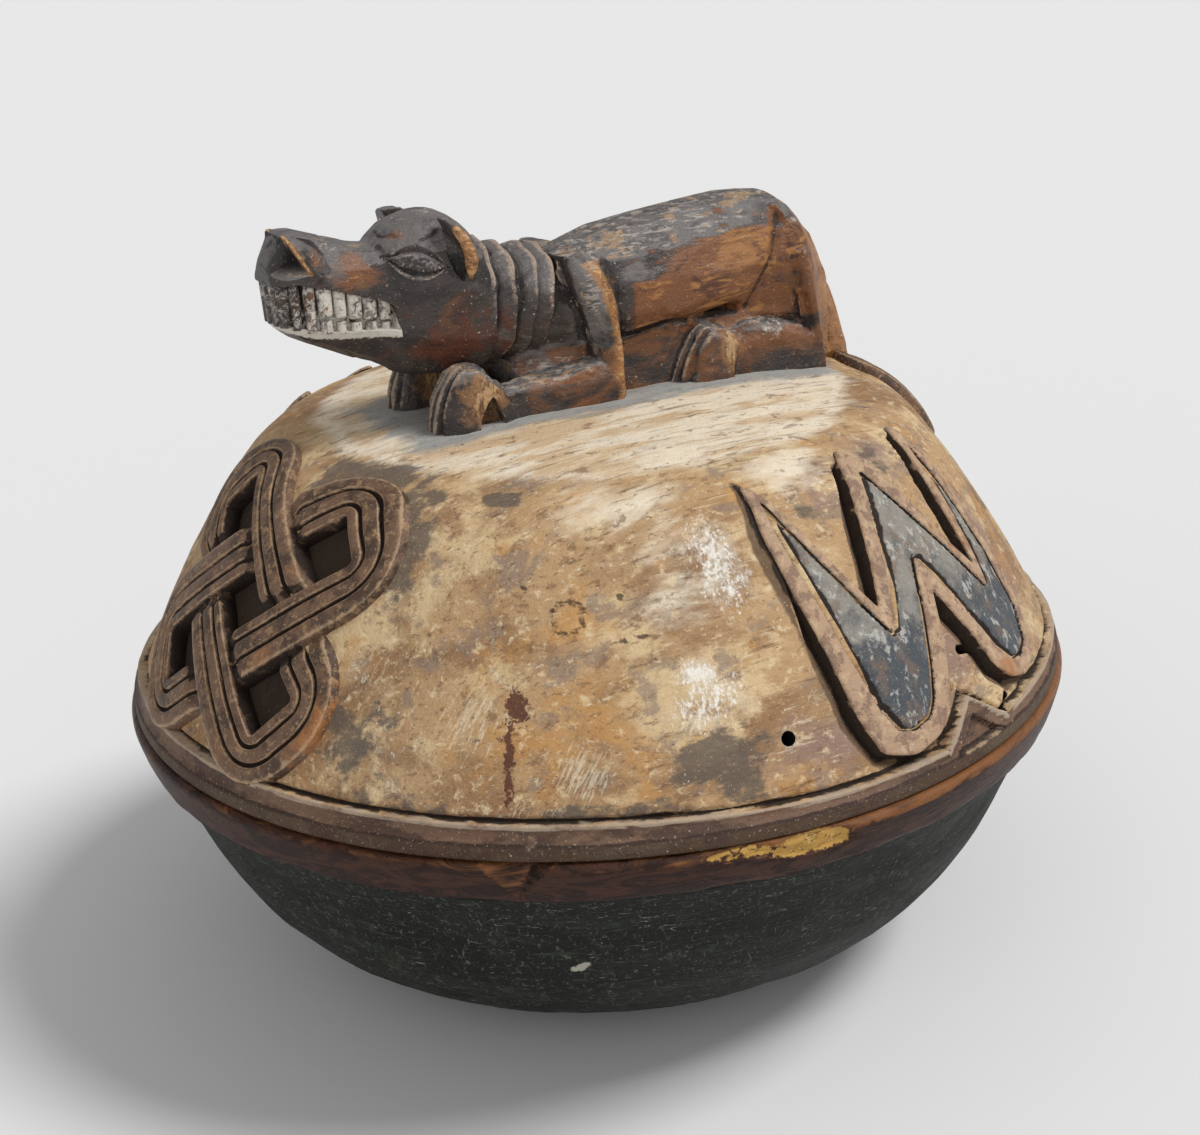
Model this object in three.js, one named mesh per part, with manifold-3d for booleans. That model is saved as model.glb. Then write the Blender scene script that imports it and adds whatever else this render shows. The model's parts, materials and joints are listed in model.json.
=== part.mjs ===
// A round lidded divination box carved from two pieces of wood: a round-bottomed bowl, and a domed lid whose
// crouching animal is carved from the same block. Millimetres, +Z up. The origin is the centre of the bowl's
// flat foot, and the animal lies along X with its head towards -X.
import * as THREE from 'three';
import { mergeVertices } from 'three/addons/utils/BufferGeometryUtils.js';
import Module from 'manifold-3d';

const wasm = await Module();
wasm.setup();

// Bowl. The two curve points draw the outer line between the foot and the rim band: their share of the way
// out and of the way up.
const rimRadius = 150;
const bowlHeight = 96;
const footRadius = 52;
const bowlWall = 11;
const bowlFloor = 13;
const rimBandHeight = 13;
const rimBandStep = 3;
const rimBandTaper = 2.5;
const bandRounding = 2.5;
const bowlCurveLow = { out: 0.65, up: 0.12 };
const bowlCurveHigh = { out: 0.92, up: 0.56 };

// Locating lip of the bowl, which keeps the lid centred.
const lipHeight = 5;
const lipThickness = 5;
const lipClearance = 0.8;
const lipChamfer = 1;

// Lid.
const seamGap = 0.3;
const lidSetback = 1.5;
const lidSeatWidth = 11;
const lidSeatDepth = 6;
const lidWall = 9;
const lidTopThickness = 12;
const lidEdgeChamfer = 0.6;
const borderHeight = 9;
const borderStep = 4;
const shoulderRadius = 104;
const shoulderHeight = 74;
const sideBulge = 5;
const shoulderRounding = 5;
const plateauRadius = 66;
const plateauHeight = 87;
const plateauCrown = 2;

// Relief carving on the lid's side, in degrees from -Y towards +X, and at a height above the lid's edge.
const reliefHeight = 3;
const motifHeight = 47;
const knotAzimuths = [-81, 99];
const zigzagAzimuths = [20, 200];

// Knot: two long rings of flat band, crossing each other.
const knotRingLength = 98;
const knotRingWidth = 32.6;
const knotBandWidth = 16;
const knotOuterRounding = 22;
const knotInnerRounding = 1;
const knotSlope = 40.5;

// Zigzag: its outline on the lid's side from the motif's middle, across and up: two round feet below, three
// points above.
const zigzagOutline = [
  [-35, 44], [-40, 28], [-41, 10], [-40, -8], [-39, -27], [-35, -39], [-25, -43], [-14, -40],
  [-6, -33], [1, -20], [6.5, -3], [14.5, -19], [20, -32], [27, -39], [37, -42], [47, -39],
  [51, -27], [47, -2], [41, 23], [36, 40], [33, 40], [33, 20], [34, -6], [25, 6],
  [16.5, 23], [7, 41], [3, 46], [-2, 38], [-7, 24], [-12, 9], [-17, -2], [-28, 26],
];

// Holes through the lid's side: a drilled one, a small one at the border and a slot in the zigzag's recess.
const drilledHoleWidth = 4;
const drilledHoleHeight = 24;
const borderHoleWidth = 3.2;
const borderHoleHeight = 13;
const slotLength = 13;
const slotWidth = 2.6;
const slotHeight = 31;
const sideHoles = [
  { azimuth: -5.5, height: drilledHoleHeight, length: drilledHoleWidth, width: drilledHoleWidth, tilt: 0 },
  { azimuth: 28.7, height: borderHoleHeight, length: borderHoleWidth, width: borderHoleWidth, tilt: 0 },
  { azimuth: 24.3, height: slotHeight, length: slotLength, width: slotWidth, tilt: -40 },
];

// Animal: trunk and the wood under it. Places along the trunk count from the shoulder at x = 0.
const trunkLength = 104;
const trunkHalfWidth = 19.5;
const trunkTop = 54;
const rumpSetback = 16;
const bellyHeight = 19;
const bellyWallInset = 6;
const bellyWallFront = 2;
const bellySlot = 2.7;
const bellySlotStart = 8;
const bellySlotLength = 46;
const bellySlotRise = 2;

// Neck of hoop-shaped ridges.
const neckRadius = 17.5;
const neckRingCount = 5;
const neckRingSpacing = 4.5;
const neckRingDepth = 1.6;
const neckBack = 15;

// Head.
const headHeight = 50;
const headLength = 36;
const headHalfWidth = 19;
const jawClearance = 12;
const muzzleLength = 36;
const muzzleHalfWidth = 11.5;
const mouthDepth = 2.5;
const mouthHeight = 10;
const mouthRise = 28;
const mouthFall = 9;
const earHeight = 17;
const earReach = 6;
const earThickness = 4.5;
const eyeLength = 16;
const eyeHeight = 9;
const eyeBulge = 3;
const nostrilRadius = 4;
const nostrilSpread = 4.5;

// Legs and tail.
const legSpread = 22;
const legWidth = 12;
const elbowX = 6;
const forearmLength = 36;
const forearmHeight = 12;
const upperArmThickness = 12;
const upperArmLean = 9;
const thighThickness = 16;
const thighLean = 11;
const heelSetback = 6;
const shinLength = 32;
const pawLength = 27;
const pawHeight = 17;
const tailWidth = 13;
const tailThickness = 7;
const tailReach = 9;
const tailDrop = 10;

// Fineness of the round shapes.
const turnedSides = 64;
const carvedSides = 14;
const curveSteps = 6;

// How far a cutter or a joined piece runs past the surface that it meets, and the least step between two
// points of a profile.
const overrun = 5;
const reliefDepth = 30;
const leastStep = 1;

// Where the pieces lie.
const bandFoot = bowlHeight - rimBandHeight;
const bandFootRadius = rimRadius - rimBandTaper;
const underBandRadius = bandFootRadius - rimBandStep;
const lidEdgeRadius = rimRadius - lidSetback;
const lidBase = bowlHeight + seamGap;
const lidOpeningRadius = lidEdgeRadius - lidSeatWidth;
const lipOuterRadius = lidOpeningRadius - lipClearance;
const lipInnerRadius = lipOuterRadius - lipThickness;
const borderTopRadius = lidEdgeRadius - borderStep;
const sideFoot = lidBase + borderHeight;
const shoulderLevel = lidBase + shoulderHeight;
const plateauLevel = lidBase + plateauHeight;
const figureLevel = plateauLevel + seamGap;

const bowlWood = new THREE.MeshStandardMaterial({ color: 0x23231f, roughness: 0.8, metalness: 0 });
const lidWood = new THREE.MeshStandardMaterial({ color: 0xa8835c, roughness: 0.75, metalness: 0 });
const figureWood = new THREE.MeshStandardMaterial({ color: 0x4a2e20, roughness: 0.6, metalness: 0 });

// A closed three.js geometry as a solid that can be joined and cut.
function solid(geometry) {
  const bare = geometry.index ? geometry.toNonIndexed() : geometry.clone();
  bare.deleteAttribute('normal');
  bare.deleteAttribute('uv');
  const merged = mergeVertices(bare, 1e-4);
  return new wasm.Manifold(new wasm.Mesh({
    numProp: 3,
    vertProperties: merged.attributes.position.array,
    triVerts: new Uint32Array(merged.index.array),
  }));
}

// A solid as a named mesh.
function meshOf(made, name, material) {
  const data = made.getMesh();
  const geometry = new THREE.BufferGeometry();
  geometry.setAttribute('position', new THREE.BufferAttribute(new Float32Array(data.vertProperties), 3));
  geometry.setIndex(new THREE.BufferAttribute(new Uint32Array(data.triVerts), 1));
  geometry.computeVertexNormals();
  const mesh = new THREE.Mesh(geometry, material);
  mesh.name = name;
  return mesh;
}

function joined(solids) {
  return solids.reduce((sum, next) => sum.add(next));
}

// A profile of [radius, height] points turned about Z.
function turned(profile) {
  const lathe = new THREE.LatheGeometry(profile.map(([r, z]) => new THREE.Vector2(r, z)), turnedSides);
  return solid(lathe.rotateX(Math.PI / 2));
}

function curvePoints(curve, steps = curveSteps) {
  return curve.getPoints(steps).map((p) => [p.x, p.y]);
}

// The same line moved sideways, to the left of its direction when distance is positive.
function offsetLine(line, distance) {
  return line.map(([r, z], i) => {
    const [r0, z0] = line[Math.max(i - 1, 0)];
    const [r1, z1] = line[Math.min(i + 1, line.length - 1)];
    const length = Math.hypot(r1 - r0, z1 - z0);
    return [r - (distance * (z1 - z0)) / length, z + (distance * (r1 - r0)) / length];
  });
}

// The bowl's outer line from the foot's edge up to the rim band.
const bowlReach = underBandRadius - footRadius;
const bowlLine = curvePoints(new THREE.CubicBezierCurve(
  new THREE.Vector2(footRadius, 0),
  new THREE.Vector2(footRadius + bowlCurveLow.out * bowlReach, bowlCurveLow.up * bandFoot),
  new THREE.Vector2(footRadius + bowlCurveHigh.out * bowlReach, bowlCurveHigh.up * bandFoot),
  new THREE.Vector2(underBandRadius, bandFoot),
));

function bowlSolid() {
  const inner = offsetLine(bowlLine, bowlWall)
    .filter(([r, z]) => r < lipInnerRadius && z > bowlFloor + leastStep && z < bandFoot - leastStep)
    .reverse();
  const floorRadius = Math.max(inner[inner.length - 1][0] - bowlWall, leastStep);
  const lipTop = bowlHeight + lipHeight;
  return turned([
    [0, 0],
    ...bowlLine,
    [bandFootRadius - 0.4 * bandRounding, bandFoot + 0.3 * bandRounding],
    [bandFootRadius, bandFoot + bandRounding],
    [rimRadius, bowlHeight - bandRounding],
    [rimRadius - 0.3 * bandRounding, bowlHeight - 0.3 * bandRounding],
    [rimRadius - bandRounding, bowlHeight],
    [lipOuterRadius, bowlHeight],
    [lipOuterRadius, lipTop - lipChamfer],
    [lipOuterRadius - lipChamfer, lipTop],
    [lipInnerRadius, lipTop],
    [lipInnerRadius, bandFoot],
    ...inner,
    [floorRadius, bowlFloor],
    [0, bowlFloor],
  ]);
}

// The lid's side runs from the border's top up to the shoulder, which rounds over into the plateau.
const sideLine = curvePoints(new THREE.QuadraticBezierCurve(
  new THREE.Vector2(borderTopRadius, sideFoot),
  new THREE.Vector2(
    (borderTopRadius + shoulderRadius) / 2 + sideBulge,
    (sideFoot + shoulderLevel) / 2 + 0.4 * sideBulge,
  ),
  new THREE.Vector2(shoulderRadius, shoulderLevel),
));
const shoulderLine = curvePoints(new THREE.CubicBezierCurve(
  new THREE.Vector2(shoulderRadius, shoulderLevel),
  new THREE.Vector2(shoulderRadius - shoulderRounding, (shoulderLevel + plateauLevel) / 2),
  new THREE.Vector2((shoulderRadius + plateauRadius) / 2, plateauLevel - plateauCrown),
  new THREE.Vector2(plateauRadius, plateauLevel),
)).slice(1);

// The lid's outer surface above the border, raised by a relief's height.
function lidSkin(raise) {
  const line = [...sideLine, ...shoulderLine];
  return turned([[0, sideFoot], ...offsetLine(line, -raise), [0, plateauLevel + raise]]);
}

function lidShell() {
  return turned([
    [0, lidBase],
    [lidEdgeRadius - lidEdgeChamfer, lidBase],
    [lidEdgeRadius, lidBase + lidEdgeChamfer],
    [lidEdgeRadius, lidBase + borderHeight / 2],
    [borderTopRadius + 0.3 * borderStep, sideFoot - 0.1 * borderStep],
    ...sideLine,
    ...shoulderLine,
    [0, plateauLevel],
  ]);
}

function lidCavity() {
  const ceiling = plateauLevel - lidTopThickness;
  const seatTop = lidBase + lidSeatDepth;
  const inner = offsetLine(sideLine, lidWall)
    .filter(([r, z]) => r < lidOpeningRadius && z > seatTop + leastStep && z < ceiling - leastStep);
  return turned([
    [0, lidBase - overrun],
    [lidOpeningRadius, lidBase - overrun],
    [lidOpeningRadius, seatTop],
    ...inner,
    [shoulderRadius - 1.5 * lidWall, ceiling],
    [0, ceiling],
  ]);
}

// Radius and outward slope of the lid's side at a height above its edge.
function sideAt(height) {
  const z = lidBase + height;
  let i = 0;
  while (i < sideLine.length - 2 && sideLine[i + 1][1] < z) i += 1;
  const [r0, z0] = sideLine[i];
  const [r1, z1] = sideLine[i + 1];
  const radius = r0 + ((r1 - r0) * (z - z0)) / (z1 - z0);
  return { radius, z, slope: Math.atan2(r0 - r1, z1 - z0) };
}

// A flat shape as a solid that stands through the lid's side, with its own Y up the slope.
function throughSide(shape, azimuth, height, tilt = 0) {
  const { radius, z, slope } = sideAt(height);
  const through = { depth: reliefDepth, bevelEnabled: false, curveSegments: 5 };
  const geometry = new THREE.ExtrudeGeometry(shape, through)
    .translate(0, 0, -reliefDepth / 2)
    .rotateZ(THREE.MathUtils.degToRad(tilt))
    .rotateX(Math.PI / 2 - slope)
    .translate(0, -radius, z)
    .rotateZ(THREE.MathUtils.degToRad(azimuth));
  return solid(geometry);
}

function roundedRectangle(path, length, width, rounding) {
  const [a, b] = [length / 2, width / 2];
  path.moveTo(a - rounding, -b);
  path.quadraticCurveTo(a, -b, a, -b + rounding);
  path.lineTo(a, b - rounding);
  path.quadraticCurveTo(a, b, a - rounding, b);
  path.lineTo(-a + rounding, b);
  path.quadraticCurveTo(-a, b, -a, b - rounding);
  path.lineTo(-a, -b + rounding);
  path.quadraticCurveTo(-a, -b, -a + rounding, -b);
  path.closePath();
  return path;
}

// The outline of one long ring of the knot, with the cell inside it open.
function knotRing() {
  const ring = new THREE.Shape();
  roundedRectangle(ring, knotRingLength + knotBandWidth, knotRingWidth + knotBandWidth, knotOuterRounding);
  const cell = new THREE.Path();
  roundedRectangle(cell, knotRingLength - knotBandWidth, knotRingWidth - knotBandWidth, knotInnerRounding);
  ring.holes.push(cell);
  return ring;
}

function zigzag() {
  return new THREE.Shape(zigzagOutline.map(([x, y]) => new THREE.Vector2(x, y)));
}

function reliefs() {
  const knots = knotAzimuths.flatMap((azimuth) => [knotSlope, -knotSlope]
    .map((slope) => throughSide(knotRing(), azimuth, motifHeight, slope)));
  const zigzags = zigzagAzimuths.map((azimuth) => throughSide(zigzag(), azimuth, motifHeight));
  return joined([...knots, ...zigzags]).intersect(lidSkin(reliefHeight));
}

function sideHoleCutters() {
  return sideHoles.map(({ azimuth, height, length, width, tilt }) => {
    const slot = roundedRectangle(new THREE.Shape(), length, width, 0.49 * width);
    return throughSide(slot, azimuth, height, tilt);
  });
}

function lidSolid() {
  return sideHoleCutters().reduce(
    (lid, cutter) => lid.subtract(cutter),
    lidShell().add(reliefs()).subtract(lidCavity()),
  );
}

// A carved form: an oval section at each station, square to the axis that it runs along. A station gives its
// place along the axis, the middle of its section on the two other axes, and its two half sizes. The higher
// the squareness, the flatter the section's sides.
function carved(axis, stations, squareness) {
  const points = [];
  const oval = (share) => Math.sign(share) * Math.abs(share) ** (2 / squareness);
  stations.forEach(([along, midA, midB, halfA, halfB]) => {
    for (let i = 0; i < carvedSides; i += 1) {
      const angle = (2 * Math.PI * i) / carvedSides;
      const a = midA + halfA * oval(Math.cos(angle));
      const b = midB + halfB * oval(Math.sin(angle));
      points.push(...(axis === 'x' ? [along, a, b] : [a, b, along]));
    }
  });
  const index = [];
  const last = (stations.length - 1) * carvedSides;
  for (let s = 0; s < last; s += carvedSides) {
    for (let i = 0; i < carvedSides; i += 1) {
      const j = (i + 1) % carvedSides;
      index.push(s + i, s + j, s + carvedSides + j, s + i, s + carvedSides + j, s + carvedSides + i);
    }
  }
  for (let i = 1; i < carvedSides - 1; i += 1) {
    index.push(0, i + 1, i, last, last + i, last + i + 1);
  }
  const geometry = new THREE.BufferGeometry();
  geometry.setAttribute('position', new THREE.BufferAttribute(new Float32Array(points), 3));
  geometry.setIndex(index);
  return solid(geometry);
}

// How square the animal's sections are, from nearly round to nearly a box.
const roundish = 2.2;
const softSquare = 3;
const boxy = 8;

// A station of a form along X that reaches from one height to another.
function span(x, low, high, halfWidth, y = 0) {
  return [x, y, (low + high) / 2, halfWidth, (high - low) / 2];
}

// Places along the animal, towards the tail and towards the nose.
const rumpX = trunkLength - rumpSetback;
const heelX = rumpX - heelSetback;
const hindPawX = heelX - shinLength;
const frontPawX = elbowX - forearmLength;
const neckFrontX = -neckBack - neckRingCount * neckRingSpacing;
const headBackX = neckFrontX + overrun;
const browX = headBackX - headLength;
const noseX = browX - muzzleLength;
const headTop = jawClearance + headHeight;
const neckMiddle = (jawClearance + headTop) / 2 - 4;

// Trunk stations: share of the way to the rump, how far the back lies below its highest level, and how much
// narrower the trunk is.
const trunkStations = [
  [-0.07, 7, 2],
  [0.2, 2.5, 0],
  [0.57, 0, 0],
  [0.78, 2.5, 1],
  [0.9, 9, 4],
  [1, 21, 10],
];

function trunk() {
  const shoulder = span(-neckBack - 3, bellyHeight - 2, neckMiddle + neckRadius - 5, neckRadius - 3);
  return carved('x', [shoulder, ...trunkStations.map(([share, drop, narrowing]) => (
    span(share * rumpX, bellyHeight, trunkTop - drop, trunkHalfWidth - narrowing)
  ))], softSquare);
}

function neck() {
  const valley = neckRadius - neckRingDepth;
  const hoop = (x, radius) => [x, 0, neckMiddle, radius, radius];
  const stations = [hoop(neckFrontX - overrun, valley)];
  for (let i = 0; i < neckRingCount; i += 1) {
    const x = neckFrontX + (i + 0.3) * neckRingSpacing;
    stations.push(hoop(x, neckRadius), hoop(x + neckRingSpacing / 2, valley));
  }
  stations.push(hoop(-neckBack / 2, neckRadius - 1));
  return carved('x', stations, roundish);
}

// Muzzle stations from the nose to the brow: share of the muzzle's length, the underside's height above the
// jaw's lowest level, how far the top lies below the skull's top, and how much wider the muzzle is than at
// the nose.
const muzzleStations = [
  [0, 24, 9, -3],
  [0.08, 20, 3, -0.5],
  [0.33, 14.5, 2, 0],
  [0.67, 9.5, 4.5, 0.5],
  [1, 6, 6, 2],
];

// Skull stations from the brow to the back of the head: share of the head's length, the same two heights, and
// how much narrower the head is than at its widest.
const skullStations = [
  [0.22, 2, 1.5, 2],
  [0.47, 0, 0, 0],
  [0.75, 1.5, 3.5, 1],
  [1, 7, 12, 5],
];

// Head and muzzle. Shrunk by the mouth's depth, it is the closed row of teeth inside the mouth.
function head(shrink) {
  const station = (x, rise, drop, halfWidth) => (
    span(x, jawClearance + rise + shrink, headTop - drop - shrink, halfWidth - shrink)
  );
  const front = muzzleStations.map(([share, rise, drop, widening]) => (
    station(noseX + share * muzzleLength + (share < 0.1 ? shrink : 0), rise, drop, muzzleHalfWidth + widening)
  ));
  const back = skullStations.map(([share, rise, drop, narrowing]) => (
    station(browX + share * headLength, rise, drop, headHalfWidth - narrowing)
  ));
  return carved('x', [...front, ...back], roundish);
}

// The mouth is a shallow band round the muzzle, open at the front and both sides, lower towards the cheeks.
function mouth() {
  const frontLow = jawClearance + mouthRise;
  const backLow = frontLow - mouthFall;
  const band = carved('x', [
    span(noseX - overrun, frontLow, frontLow + mouthHeight, 2 * muzzleHalfWidth),
    span(browX, backLow, backLow + mouthHeight, 2 * muzzleHalfWidth),
  ], boxy);
  return band.subtract(head(mouthDepth));
}

// An ear is an upright cup, hollow towards the face.
function ear(side) {
  const shell = new THREE.SphereGeometry(1, 14, 10);
  const hollow = shell.clone();
  shell.scale(earThickness, earReach, earHeight / 2);
  hollow.scale(earThickness, 0.8 * earReach, 0.36 * earHeight);
  hollow.translate(-0.7 * earThickness, 0.25 * side * earReach, 0);
  const place = [browX + 0.64 * headLength, side * (headHalfWidth - 1.5), headTop - 0.55 * earHeight];
  return solid(shell).subtract(solid(hollow)).translate(place);
}

function eye(side) {
  const ball = new THREE.SphereGeometry(1, 14, 8).scale(eyeLength / 2, eyeBulge, eyeHeight / 2);
  ball.rotateZ(0.3 * side);
  const place = [browX + eyeLength / 2, side * (headHalfWidth - 4), headTop - 1.4 * eyeHeight];
  return solid(ball).translate(place);
}

function nostril(side) {
  const pit = new THREE.SphereGeometry(nostrilRadius, 10, 6);
  return solid(pit).translate([noseX, side * nostrilSpread, headTop - 2.3 * nostrilRadius]);
}

// Paw stations from the toes to the wrist: share of the paw's length, of its height, and the widening.
const pawStations = [
  [1, 0.45, -1.5],
  [0.8, 0.85, 0],
  [0.58, 1, 0.5],
  [0.3, 0.9, 0],
  [0, 0.55, -0.5],
];

function paw(x, side) {
  const y = side * (legSpread - legWidth / 2);
  return carved('x', pawStations.map(([share, height, widening]) => (
    span(x - share * pawLength, 0, height * pawHeight, legWidth / 2 + widening, y)
  )), softSquare);
}

// A limb's upper part rises from the ground and leans forward and inward. Its stations give the share of the
// trunk's height, of the lean, and how far it has moved inward.
const limbStations = [
  [0, 0, 0],
  [0.35, 0.25, 0],
  [0.6, 0.6, 1],
  [0.82, 1, 4],
];

function upperLimb(x, side, thickness, lean) {
  const y = legSpread - legWidth / 2;
  return carved('z', limbStations.map(([height, share, inward]) => (
    [height * trunkTop, x - share * lean, side * (y - inward), thickness / 2, legWidth / 2 - 0.25 * inward]
  )), softSquare);
}

function frontLeg(side) {
  const y = side * (legSpread - legWidth / 2);
  const forearm = carved('x', [
    span(frontPawX - overrun, 0, forearmHeight - 1, legWidth / 2 - 0.5, y),
    span(elbowX - upperArmThickness / 2, 0, forearmHeight, legWidth / 2, y),
    span(elbowX, 0, forearmHeight - 2, legWidth / 2 - 1, y),
  ], softSquare);
  const upperArm = upperLimb(elbowX - upperArmThickness / 2, side, upperArmThickness, upperArmLean);
  return joined([forearm, upperArm, paw(frontPawX, side)]);
}

function hindLeg(side) {
  const y = side * (legSpread - legWidth / 2);
  const shin = carved('x', [
    span(hindPawX - overrun, 0, forearmHeight, legWidth / 2 - 1, y),
    span(hindPawX + shinLength / 2, 0, forearmHeight + 1.5, legWidth / 2, y),
    span(heelX, 0, forearmHeight - 3, legWidth / 2 - 1, y),
  ], softSquare);
  const thigh = upperLimb(heelX - thighThickness / 2, side, thighThickness, thighLean);
  return joined([shin, thigh, paw(hindPawX, side)]);
}

// The wood left standing under the belly, and the slot cut between it and the trunk.
function bellyWall() {
  const halfWidth = legSpread - bellyWallInset;
  return carved('x', [
    span(bellyWallFront, 0, bellyHeight + overrun, halfWidth),
    span(heelX - heelSetback, 0, bellyHeight + overrun, halfWidth),
  ], boxy);
}

function bellySlotCutter() {
  const end = bellySlotStart + bellySlotLength;
  return carved('x', [
    span(bellySlotStart, bellyHeight - bellySlot, bellyHeight, legSpread),
    span(end, bellyHeight + bellySlotRise - bellySlot, bellyHeight + bellySlotRise, legSpread),
  ], boxy);
}

// The tail lies down the middle of the rump and onto the lid's shoulder.
function tail() {
  const section = (z, x, thicker) => [z, x, 0, tailThickness / 2 + thicker, tailWidth / 2];
  return carved('z', [
    section(-tailDrop, rumpX + tailReach, 0),
    section(0.2 * trunkTop, rumpX + tailReach / 2, 0),
    section(0.45 * trunkTop, rumpX, 1),
    section(0.75 * trunkTop, rumpX - tailReach, 2),
  ], roundish);
}

function animalSolid() {
  const sides = [-1, 1];
  const body = joined([trunk(), neck(), bellyWall(), ...sides.map(hindLeg)])
    .subtract(bellySlotCutter())
    .add(joined(sides.map(frontLeg)));
  const face = joined([head(0), ...sides.map(eye)])
    .subtract(joined([mouth(), ...sides.map(nostril)]))
    .add(joined(sides.map(ear)));
  const lyingTail = tail().translate([0, 0, figureLevel]).subtract(lidSkin(reliefHeight + seamGap));
  return body.add(face).translate([0, 0, figureLevel]).add(lyingTail).subtract(lidSkin(seamGap));
}

const box = new THREE.Group();
box.add(
  meshOf(bowlSolid(), 'bowl', bowlWood),
  meshOf(lidSolid(), 'lid', lidWood),
  meshOf(animalSolid(), 'crouching_animal', figureWood),
);

export default box;
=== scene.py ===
# %% Load the CAD frame
import json
import math

import bpy
import numpy as np
from mathutils import Matrix, Vector, noise
from mathutils.geometry import delaunay_2d_cdt

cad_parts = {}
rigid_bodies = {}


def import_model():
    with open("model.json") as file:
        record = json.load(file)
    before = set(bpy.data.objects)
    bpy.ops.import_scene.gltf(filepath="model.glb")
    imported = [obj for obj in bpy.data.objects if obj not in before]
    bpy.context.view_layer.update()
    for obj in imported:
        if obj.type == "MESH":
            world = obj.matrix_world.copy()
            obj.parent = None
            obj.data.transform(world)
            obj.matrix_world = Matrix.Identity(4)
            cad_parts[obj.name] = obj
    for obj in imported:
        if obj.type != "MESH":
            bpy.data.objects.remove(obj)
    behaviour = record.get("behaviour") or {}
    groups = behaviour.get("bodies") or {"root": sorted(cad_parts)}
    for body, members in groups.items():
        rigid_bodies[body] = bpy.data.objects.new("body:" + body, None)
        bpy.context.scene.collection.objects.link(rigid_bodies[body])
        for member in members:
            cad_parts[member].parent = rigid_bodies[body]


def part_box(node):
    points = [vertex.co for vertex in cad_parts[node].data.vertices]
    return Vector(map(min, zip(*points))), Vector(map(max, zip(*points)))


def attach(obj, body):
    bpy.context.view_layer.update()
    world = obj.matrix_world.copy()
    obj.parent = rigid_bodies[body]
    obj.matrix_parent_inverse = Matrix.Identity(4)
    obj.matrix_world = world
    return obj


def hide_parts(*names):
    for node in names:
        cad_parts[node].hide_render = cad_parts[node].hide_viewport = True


for left_over in list(bpy.data.objects):
    bpy.data.objects.remove(left_over)
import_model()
bpy.context.view_layer.update()

# %% [markdown]
# The box is two carved pieces of wood: a round-bottomed bowl and a domed lid, with an animal
# left standing on the lid from the same block. Everything below is measured in millimetres in
# the frame of the CAD part, and its main sizes are read from that part, so both stay together.

# %% Sizes read from the part
MM = 0.001
LID_LOW, LID_HIGH = (np.array(corner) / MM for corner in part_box("lid"))
LID_RADIUS = float(LID_HIGH[0])
LID_BASE = float(LID_LOW[2])
PLATEAU = float(LID_HIGH[2])
print("lid radius", round(LID_RADIUS, 1), "mm, from", round(LID_BASE, 1), "to", round(PLATEAU, 1))

# %% [markdown]
# A few helpers carry the whole lesson. These ones work on plain numbers: `along` reads a value
# off a short table, `smooth_step` fades from 0 to 1, and `uneven` gives the slow random
# changes that hand work leaves. It takes its values from fixed places, so each run is alike.

# %% Helpers that read and blend numbers
HALF_TURN = 180.0


def along(table, value):
    """Reads a value off a short table of (position, value) pairs."""
    pairs = np.array(table, float)
    return np.interp(value, pairs[:, 0], pairs[:, 1])


def smooth_step(start, end, value):
    """0 before start, 1 after end, and a soft ramp between them."""
    ramp = np.clip((value - start) / (end - start), 0, 1)
    return ramp * ramp * (3 - 2 * ramp)


def noise_at(places):
    """Smooth random values from -1 to 1, one for each place."""
    return np.array([noise.noise(Vector(place)) for place in places])


def uneven(points, size, seed=0.0):
    """Smooth random values from -1 to 1 that change over about `size` millimetres."""
    shift = Vector((seed, seed * 0.37, -seed * 0.71))
    return noise_at(Vector(point) / size + shift for point in points)


# %% [markdown]
# Operators act on all that is selected, so `pick` first selects one piece alone. `loft` does
# by operators what a carver does by eye: it takes one outline, extrudes it again and again,
# and moves each copy to its section. Holes and hollows are cut with a solid of their shape and
# a boolean modifier. Places are in millimetres, and only these helpers turn them to metres.

# %% Helpers that make and read meshes


def pick(piece):
    """Selects this piece alone."""
    bpy.ops.object.select_all(action="DESELECT")
    piece.select_set(True)
    bpy.context.view_layer.objects.active = piece


def points_of(piece):
    """The piece's vertices in millimetres."""
    flat = np.empty(len(piece.data.vertices) * 3)
    piece.data.vertices.foreach_get("co", flat)
    return flat.reshape(-1, 3) / MM


def move_points(piece, points):
    """Puts the vertices at these places, given in millimetres."""
    piece.data.vertices.foreach_set("co", (np.asarray(points) * MM).ravel())
    piece.data.update()


def normals_of(piece):
    """The direction in which the surface faces at each vertex."""
    flat = np.empty(len(piece.data.vertices) * 3)
    piece.data.vertex_normals.foreach_get("vector", flat)
    return flat.reshape(-1, 3)


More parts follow.
